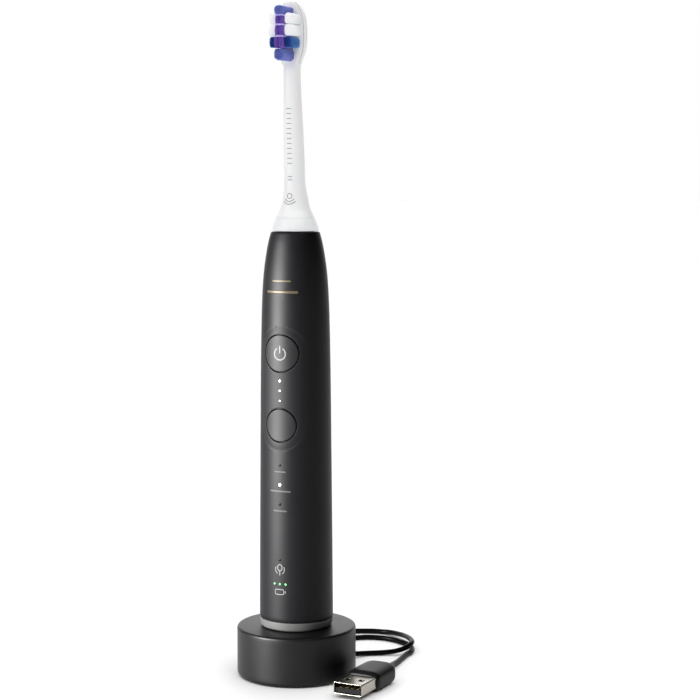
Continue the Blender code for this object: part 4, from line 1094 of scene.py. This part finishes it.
@dataclass
class BrushHead:
    """The brush head on its shaft: ring, neck with the bristle plate, and the filaments."""

    neck_bottom: float = 180.6
    bore_top: float = 200.0
    bore_radius: float = 3.0
    plate_front: float = -4.6
    filament: float = 0.2         # diameter
    pitch: float = 0.205
    dome: float = 0.45            # how much lower the filaments at a tuft's edge are trimmed
    shaft_radius: float = 1.95
    shaft_flat: float = 1.45      # how far behind the axis its flat is
    shaft_foot: float = 150.8
    shaft_tip: float = 198.0
    flat_from: float = 184.0
    body: str = "brush_head"
    stations: tuple[tuple[float, float, float, float], ...] = (   # height, half width, half depth, centre
        (180.6, 7.75, 7.75, 0.0), (182.0, 7.05, 7.05, 0.0), (183.6, 6.3, 6.3, 0.0),
        (185.8, 5.6, 5.6, 0.0), (188.2, 5.1, 5.1, 0.0), (191.0, 4.6, 4.6, -0.1),
        (195.0, 4.2, 4.2, -0.35), (206.6, 4.15, 4.1, -1.0), (218.0, 3.88, 3.8, -1.65),
        (227.0, 3.55, 3.5, -2.1), (236.0, 3.45, 3.1, -2.5), (239.5, 3.9, 2.55, -2.3),
        (242.2, 4.9, 2.45, -2.15), (245.2, 5.8, 2.45, -2.1), (249.0, 6.2, 2.5, -2.1),
        (254.0, 6.1, 2.5, -2.1), (257.8, 5.35, 2.4, -2.15), (260.6, 4.1, 2.05, -2.4),
        (262.4, 2.6, 1.5, -2.9), (263.2, 1.2, 0.8, -3.1), (263.4, 0.4, 0.3, -3.1))

    def build(self) -> None:
        """Make every piece of the head and the shaft that it sits on."""
        dress(self.ring(), WHITE, self.body, Slot.WHITE, "brush_base_ring")
        dress(self.neck(), WHITE, self.body, Slot.WHITE, "brush_neck")
        dress(self.rim(), EDGE, self.body, Slot.WHITE)
        self.marks()
        self.bristles()
        dress_nodes({"brush_id_tag": COPPER, "shaft_sleeve": INNER_GREY})
        dress(self.shaft(), STEEL, "drive", Slot.STEEL, "drive_shaft")
        dress_nodes({"armature_yoke": STEEL, "magnet_left": STEEL, "magnet_right": STEEL})

    def ring(self) -> bpy.types.Object:
        """The ring at the head's foot, with two hairline grooves."""
        corners = [(7.85, 180.52, 0.1), (8.5, 178.9, 0.5), (8.68, 178.42, 0.02), (8.64, 178.36, 0.02),
                   (8.76, 178.28, 0.02), (8.93, 177.72, 0.02), (8.88, 177.66, 0.02), (9.0, 177.56, 0.02),
                   (9.28, 176.3, 0.3), (9.15, 175.5, 0.2), (8.3, 175.5, 0.1), (8.3, 178.2, 0.2),
                   (5.8, 178.2, 0.1), (5.8, 180.52, 0.1)]
        return turned("head_base_ring", filleted(corners, 4), 160)

    def sections(self) -> np.ndarray:
        """The neck's stations along a smooth curve: height, half width, half depth, centre."""
        return through(self.stations, 9)

    def neck(self) -> bpy.types.Object:
        """Neck and plate: superellipses |x/a|^n + |y/b|^n = 1 up the stations, n from 2 on the neck
        to 2.7 on the plate, closed at the tip and bored from below for the shaft.

        Returns:
            The neck.
        """
        z, a, b, centre = self.sections().T
        low = np.array([(self.bore_top, 0.001), (self.bore_top, self.bore_radius), (176.0, self.bore_radius),
                        (176.0, 5.5), (self.neck_bottom - 0.02, 5.5)])
        z = np.r_[low[:, 0], z, z[-1] + 0.02]
        a = np.r_[low[:, 1], a, 0.001]
        b = np.r_[low[:, 1], b, 0.001]
        centre = np.r_[np.zeros(len(low)), centre, centre[-1]]
        power = (2 + 0.7 * np.clip((z - 238) / 8, 0, 1))[:, None]
        t = np.arange(144) * math.tau / 144
        c, s = np.cos(t), np.sin(t)
        x = a[:, None] * np.sign(c) * np.abs(c) ** (2 / power)
        y = centre[:, None] + b[:, None] * np.sign(s) * np.abs(s) ** (2 / power)
        points = np.stack([x, y, np.broadcast_to(z[:, None], x.shape)], axis=-1)
        return make_mesh("head_neck", points, grid_faces(len(z), 144, False, True), sharp=45)

    def rim(self) -> bpy.types.Object:
        """A fine raised bead round the plate: a circle carried along the line where x is 0.9 of the
        half width and y follows the superellipse, up one side and down the other.

        Returns:
            The bead.
        """
        rows = self.sections()
        z, a, b, centre = rows[(rows[:, 0] > 239.0) & (rows[:, 0] < 262.6)].T
        power = 2 + 0.7 * np.clip((z - 238) / 8, 0, 1)
        side = np.stack([0.9 * a, centre - b * (1 - 0.9 ** power) ** (1 / power), z], axis=-1)
        path = np.vstack([side, side[::-1] * (-1, 1, 1)])
        ahead = np.gradient(path, axis=0)
        ahead /= np.linalg.norm(ahead, axis=1, keepdims=True)
        out = np.cross(ahead, (0.0, 1.0, 0.0))
        out /= np.linalg.norm(out, axis=1, keepdims=True)
        up = np.cross(out, ahead)
        angle = np.arange(10) * math.tau / 10
        thick = 0.14 * np.r_[0.01, np.ones(len(path) - 2), 0.01][:, None, None]
        round_ = out[:, None] * np.cos(angle)[None, :, None] + up[:, None] * np.sin(angle)[None, :, None]
        return make_mesh("plate_bead", path[:, None] + thick * round_, grid_faces(len(path), 10, False, True))

    def neck_front(self, x: np.ndarray, z: np.ndarray, offset: float) -> np.ndarray:
        """Y of the neck's round front: centre - (b + offset) sqrt(1 - (x/a)^2)."""
        height, a, b, centre = self.sections()[:-3].T
        wide, deep, middle = (np.interp(z, height, values) for values in (a, b, centre))
        return middle - (deep + offset) * np.sqrt(np.clip(1 - (x / wide) ** 2, 0, 1))

    def marks(self) -> None:
        """Grey marks on the neck: a ring over two arcs, and a row of plain strokes."""
        ring = stroke(circle(0.0, 189.0, 0.95), 0.38, closed=True)
        near = stroke(circle(0.0, 189.0, 2.1, 215, 325, 30), 0.38)
        far = stroke(circle(0.0, 189.0, 3.15, 222, 318, 34), 0.38)
        signs = [ring, near, far]
        signs += [stroke(np.array([(-0.75, z), (0.75, z)]), 0.36) for z in (195.2, 196.4)]
        signs += [stroke(np.array([(-0.85, z), (0.85, z)]), 0.34) for z in np.arange(201.5, 223.5, 1.9)]
        parts = [printed(f"neck_mark_{k}", grid, self.neck_front, FLAT_MARK_LIFT)
                 for k, grid in enumerate(signs)]
        dress(joined("neck_marks", parts), PRINT_GREY, self.body, Slot.WHITE)

    def shaft(self) -> bpy.types.Object:
        """The steel shaft: a circle whose back is cut flat above the handle, y = min(r sin a, flat).

        Returns:
            The shaft.
        """
        radius = self.shaft_radius
        corners = [(0.001, self.shaft_tip, 0), (radius, self.shaft_tip, 0.5), (radius, self.shaft_foot, 0.2),
                   (0.001, self.shaft_foot, 0)]
        profile = filleted(corners, 6)
        below = np.array([(radius, 184.2), (radius, 183.9)])
        first = int(np.argmax(profile[:, 1] < 190.0))
        profile = np.insert(profile, first, below, axis=0)
        grid = turn(profile, 96)
        flat = grid[..., 2] >= self.flat_from
        grid[..., 1] = np.where(flat, np.minimum(grid[..., 1], self.shaft_flat), grid[..., 1])
        return make_mesh("shaft_rod", grid, grid_faces(len(profile), 96, False, True))

    def bristles(self) -> None:
        """Every group of filaments, tuft by tuft: x and height of its sides, tip, and fan; then a painted
        highlight, pale glowing lilac rows along the tops of the purple steps.
        """
        groups = {
            "toe_bristles": (BRISTLE_SKY, Slot.BRISTLE_SKY, [(-1.65, 1.65, 257.6, 260.6, -14.5, 0.05)]),
            "centre_bristles": (BRISTLE_PURPLE, Slot.BRISTLE_PURPLE, [
                (-1.65, -0.2, 253.8, 257.1, -13.7, 0.02), (0.2, 1.5, 253.8, 257.1, -13.7, 0.02),
                (-1.7, -0.2, 249.4, 253.4, -14.1, 0.02), (0.2, 1.7, 249.4, 253.4, -14.1, 0.02),
                (-1.75, -0.2, 244.9, 249.1, -14.6, 0.02), (0.2, 1.75, 244.9, 249.1, -14.6, 0.02)]),
            "heel_bristles": (BRISTLE_SKY, Slot.BRISTLE_SKY, [
                (-1.9, -0.05, 240.9, 244.5, -14.2, 0.03), (0.05, 1.9, 240.9, 244.5, -14.2, 0.03),
                (-1.1, 1.1, 240.3, 241.6, -14.1, 0.02)]),
        }
        for side, sign in (("left", -1.0), ("right", 1.0)):
            groups[f"white_bristles_{side}"] = (BRISTLE_WHITE, Slot.BRISTLE_WHITE, [
                (2.1 * sign, 4.9 * sign, 249.6, 253.6, -13.3, 0.05),
                (2.1 * sign, 4.7 * sign, 254.1, 257.8, -13.1, 0.05)])
            groups[f"blue_bristles_{side}"] = (BRISTLE_BLUE, Slot.BRISTLE_BLUE, [
                (2.1 * sign, 4.3 * sign, 245.2, 249.0, -13.2, 0.05)])
        for name, (finish, slot, tufts) in groups.items():
            rng = np.random.default_rng(sum(map(ord, name)))
            fibres = [self.tuft(tuft, rng) for tuft in tufts]
            dress(self.filaments(name.replace("bristles", "filaments"), np.concatenate(fibres)), finish,
                  self.body, slot, name)
        # painted highlight: the top row of each purple step, made again in pale glowing lilac where the tips
        # catch light
        painted_highlight_rows = [(-1.6, 1.5, 256.9, 257.5, -13.6, 0.02), (-1.7, 1.7, 253.3, 253.9, -14.0, 0.02),
                 (-1.75, 1.75, 249.0, 249.6, -14.5, 0.02)]
        rng = np.random.default_rng(7)
        rows = np.concatenate([self.tuft(edge, rng) for edge in painted_highlight_rows])
        dress(self.filaments("step_filaments_painted_highlight", rows), BRISTLE_PAINTED_HIGHLIGHT, self.body, Slot.BRISTLE_SKY)

    def tuft(self, tuft: tuple[float, float, float, float, float, float],
             rng: np.random.Generator) -> np.ndarray:
        """Root and tip of each filament in one tuft: a close-packed grid inside a rounded rectangle,
        each tip moved out from the middle by the fan and trimmed to a slight dome.

        Args:
            tuft: Its sides in x, its sides in height, its tip in y and its fan.
            rng: The seeded source of the small differences.

        Returns:
            Array of filaments by (root, tip) by 3.
        """
        x0, x1 = sorted(tuft[:2])
        z0, z1, tip, fan = tuft[2:]
        xs, zs = np.meshgrid(np.arange(x0, x1, self.pitch), np.arange(z0, z1, self.pitch * 0.9))
        xs = xs + (np.arange(len(xs)) % 2)[:, None] * self.pitch / 2
        u, v = (2 * xs - x0 - x1) / (x1 - x0), (2 * zs - z0 - z1) / (z1 - z0)
        kept = (np.abs(u) ** 3.2 + np.abs(v) ** 3.2) < 1.0
        xs, zs, u, v = xs[kept], zs[kept], u[kept], v[kept]
        jitter = rng.normal(0.0, 0.025, (2, len(xs)))
        root = np.stack([xs, np.full(len(xs), self.plate_front + 0.1), zs], axis=-1)
        trim = tip + self.dome * (u ** 2 + v ** 2) + rng.normal(0.0, 0.05, len(xs))
        end = np.stack([xs + fan * u * 4 + jitter[0], trim, zs + fan * v * 4 + jitter[1]], axis=-1)
        return np.stack([root, end], axis=1)

    def filaments(self, name: str, fibres: np.ndarray) -> bpy.types.Object:
        """Five-sided rods, one for each filament, rounded at the tip.

        Args:
            name: The piece's name.
            fibres: Root and tip of each.

        Returns:
            The group of filaments.
        """
        sides_round = 5
        share = np.array([0.0, 0.6, 0.975, 1.0])
        thick = np.array([1.0, 1.0, 0.9, 0.4]) * self.filament / 2
        a = np.arange(sides_round) * math.tau / sides_round
        spine = fibres[:, 0, None] + (fibres[:, 1] - fibres[:, 0])[:, None] * share[None, :, None]
        circle_ = np.stack([np.cos(a), np.zeros(sides_round), np.sin(a)], axis=-1)
        points = spine[:, :, None] + thick[None, :, None, None] * circle_[None, None]
        sides = grid_faces(len(share), sides_round, wrap_columns=True)
        start = (np.arange(len(fibres)) * len(share) * sides_round)[:, None, None]
        walls = (sides[None] + start).reshape(-1, 4)
        tips = np.arange(sides_round)[None] + (len(share) - 1) * sides_round + start[:, 0]
        roots = np.arange(sides_round)[None, ::-1] + start[:, 0]
        mesh = bpy.data.meshes.new(name)
        faces = walls.tolist() + tips.tolist() + roots.tolist()
        mesh.from_pydata((points.reshape(-1, 3) * MM).tolist(), [], faces)
        mesh.shade_smooth()
        item = bpy.data.objects.new(name, mesh)
        bpy.context.scene.collection.objects.link(item)
        return item


# ---------------------------------------------------------------- studio

@dataclass
class Studio:
    """Pale floor, soft light and the camera."""

    camera_place: Triple = (0.3153, -0.6325, 0.2006)
    camera_turn: Triple = (84.205, 0.0, 24.775)   # degrees
    lens: float = 93.39
    away: Triple = (-0.446, 0.895, 0.0)           # from the camera to the backdrop
    dark: float = 0.04            # what the surroundings give on the camera's side
    bright: float = 1.8           # and behind the object
    soft_watts: float = 2.4
    fill_watts: float = 2.2
    strip_watts: float = 15.0
    overhead_strength: float = 2.85
    overhead_degrees: float = 100.0

    def build(self) -> None:
        """Make the floor, the lights and the camera."""
        self.floor()
        self.world()
        self.panel_light("soft_left", self.around(-58.0, 0.9, 0.36), (0.5, 0.8), self.soft_watts)
        self.panel_light("fill_high", self.around(28.0, 0.7, 1.1), (0.7, 0.5), self.fill_watts)
        self.overhead()
        self.camera()
        bpy.context.scene.view_settings.view_transform = "Standard"

    def around(self, degrees: float, distance: float, height: float) -> Triple:
        """A place round the object, by its angle to the right of the camera's direction.

        Args:
            degrees: Angle to the right of the camera as seen from it.
            distance: Distance from the axis in metres.
            height: Height in metres.

        Returns:
            The place.
        """
        turn_, (ax, ay, _) = math.radians(degrees), self.away
        x = -ax * math.cos(turn_) + ay * math.sin(turn_)
        y = -ay * math.cos(turn_) - ax * math.sin(turn_)
        return (distance * x, distance * y, height)

    def floor(self) -> None:
        """A pale floor with a very slight unevenness of tone."""
        side = np.linspace(-9000.0, 9000.0, 3)
        x, y = np.meshgrid(side, side)
        item = make_mesh("floor", np.stack([x, y, 0 * x], axis=-1), grid_faces(3, 3), closed=False)
        finish = Finish("floor_pale", (0.93, 0.93, 0.93), 0.7, drift=0.004, specular=0.1, grain_scale=300.0)
        item.data.materials.append(finish.material())

    def world(self) -> None:
        """Plain white surroundings. As a light they are bright behind the object and dark on the
        camera's side: strength rises with the cosine of the angle to the backdrop."""
        world = bpy.data.worlds.new("studio")
        world.use_nodes = True
        bpy.context.scene.world = world
        tree = world.node_tree
        back = tree.nodes["Background"]
        back.inputs["Color"].default_value = (1.0, 1.0, 1.0, 1.0)
        path = tree.nodes.new("ShaderNodeLightPath")
        place = tree.nodes.new("ShaderNodeTexCoord")
        facing = tree.nodes.new("ShaderNodeVectorMath")
        facing.operation = "DOT_PRODUCT"
        facing.inputs[1].default_value = self.away
        soft = tree.nodes.new("ShaderNodeMapRange")
        soft.interpolation_type = "SMOOTHSTEP"
        soft.inputs["From Min"].default_value = 0.6
        soft.inputs["From Max"].default_value = 0.97
        soft.inputs["To Min"].default_value = self.dark
        soft.inputs["To Max"].default_value = self.bright
        strength = tree.nodes.new("ShaderNodeMapRange")
        strength.inputs["To Max"].default_value = 1.0
        tree.links.new(place.outputs["Generated"], facing.inputs[0])
        tree.links.new(facing.outputs["Value"], soft.inputs["Value"])
        tree.links.new(soft.outputs["Result"], strength.inputs["To Min"])
        tree.links.new(path.outputs["Is Camera Ray"], strength.inputs["Value"])
        tree.links.new(strength.outputs["Result"], back.inputs["Strength"])

    def overhead(self) -> None:
        """A very wide soft light from straight above, which keeps the floor evenly white."""
        light = bpy.data.lights.new("overhead", "SUN")
        light.energy = self.overhead_strength
        light.angle = math.radians(self.overhead_degrees)
        bpy.context.scene.collection.objects.link(bpy.data.objects.new("overhead", light))

    def light_dark_pieces(self) -> None:
        """A strong soft strip that reaches only the black pieces, the foot cap and the plug, and the
        overhead light kept for the floor, the brush head and the bare steel."""
        pale = {"floor_pale", STEEL.name, WHITE.name, PRINT_GREY.name, BRISTLE_WHITE.name, BRISTLE_SKY.name,
                BRISTLE_PURPLE.name, BRISTLE_BLUE.name, BRISTLE_PAINTED_HIGHLIGHT.name, EDGE.name}
        groups = {True: bpy.data.collections.new("pale_pieces"),
                  False: bpy.data.collections.new("dark_pieces")}
        for item in list(bpy.context.scene.objects):
            if item.type in {"MESH", "CURVE"} and item.active_material:
                groups[item.active_material.name in pale].objects.link(item)
        strip = self.panel_light("key_left", self.around(-63.0, 0.5, 0.1), (0.27, 0.34), self.strip_watts,
                                 (0.0, 0.0, 0.09))
        strip.light_linking.receiver_collection = groups[False]
        bpy.data.objects["overhead"].light_linking.receiver_collection = groups[True]

    def panel_light(self, name: str, place: Triple, size: Pair, power: float,
                    aim: Triple = (0.0, 0.0, 0.15)) -> bpy.types.Object:
        """A rectangular soft light that points at the toothbrush.

        Args:
            name: Its name.
            place: Where it stands.
            size: Its width and height.
            power: Its power in watts.
            aim: What it points at.

        Returns:
            The light's object.
        """
        light = bpy.data.lights.new(name, "AREA")
        light.shape = "RECTANGLE"
        light.size, light.size_y = size
        light.energy = power
        item = bpy.data.objects.new(name, light)
        item.location = place
        item.rotation_euler = (Vector(aim) - Vector(place)).to_track_quat("-Z", "Y").to_euler()
        item.visible_camera = False
        bpy.context.scene.collection.objects.link(item)
        return item

    def camera(self) -> None:
        """The camera, level with the middle of the handle and a little above it."""
        data = bpy.data.cameras.new("camera")
        data.lens = self.lens
        data.sensor_width = 36.0
        item = bpy.data.objects.new("camera", data)
        item.location = self.camera_place
        item.rotation_euler = tuple(math.radians(value) for value in self.camera_turn)
        bpy.context.scene.collection.objects.link(item)
        bpy.context.scene.camera = item


def main() -> None:
    """Build every sub-assembly in order and log each step, with the cord's length."""
    logging.basicConfig(level=logging.INFO, format="%(message)s")
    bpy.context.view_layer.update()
    studio = Studio()
    studio.build()
    LOG.info("studio")
    plug = Plug().build()
    LOG.info("plug")
    length = ChargingCord().build(plug)
    LOG.info("cord, %.3f m", length)
    for part in (ChargingBase(), Handle(), BrushHead()):
        part.build()
        LOG.info(type(part).__name__)
    studio.light_dark_pieces()


if __name__ == "__main__":
    main()
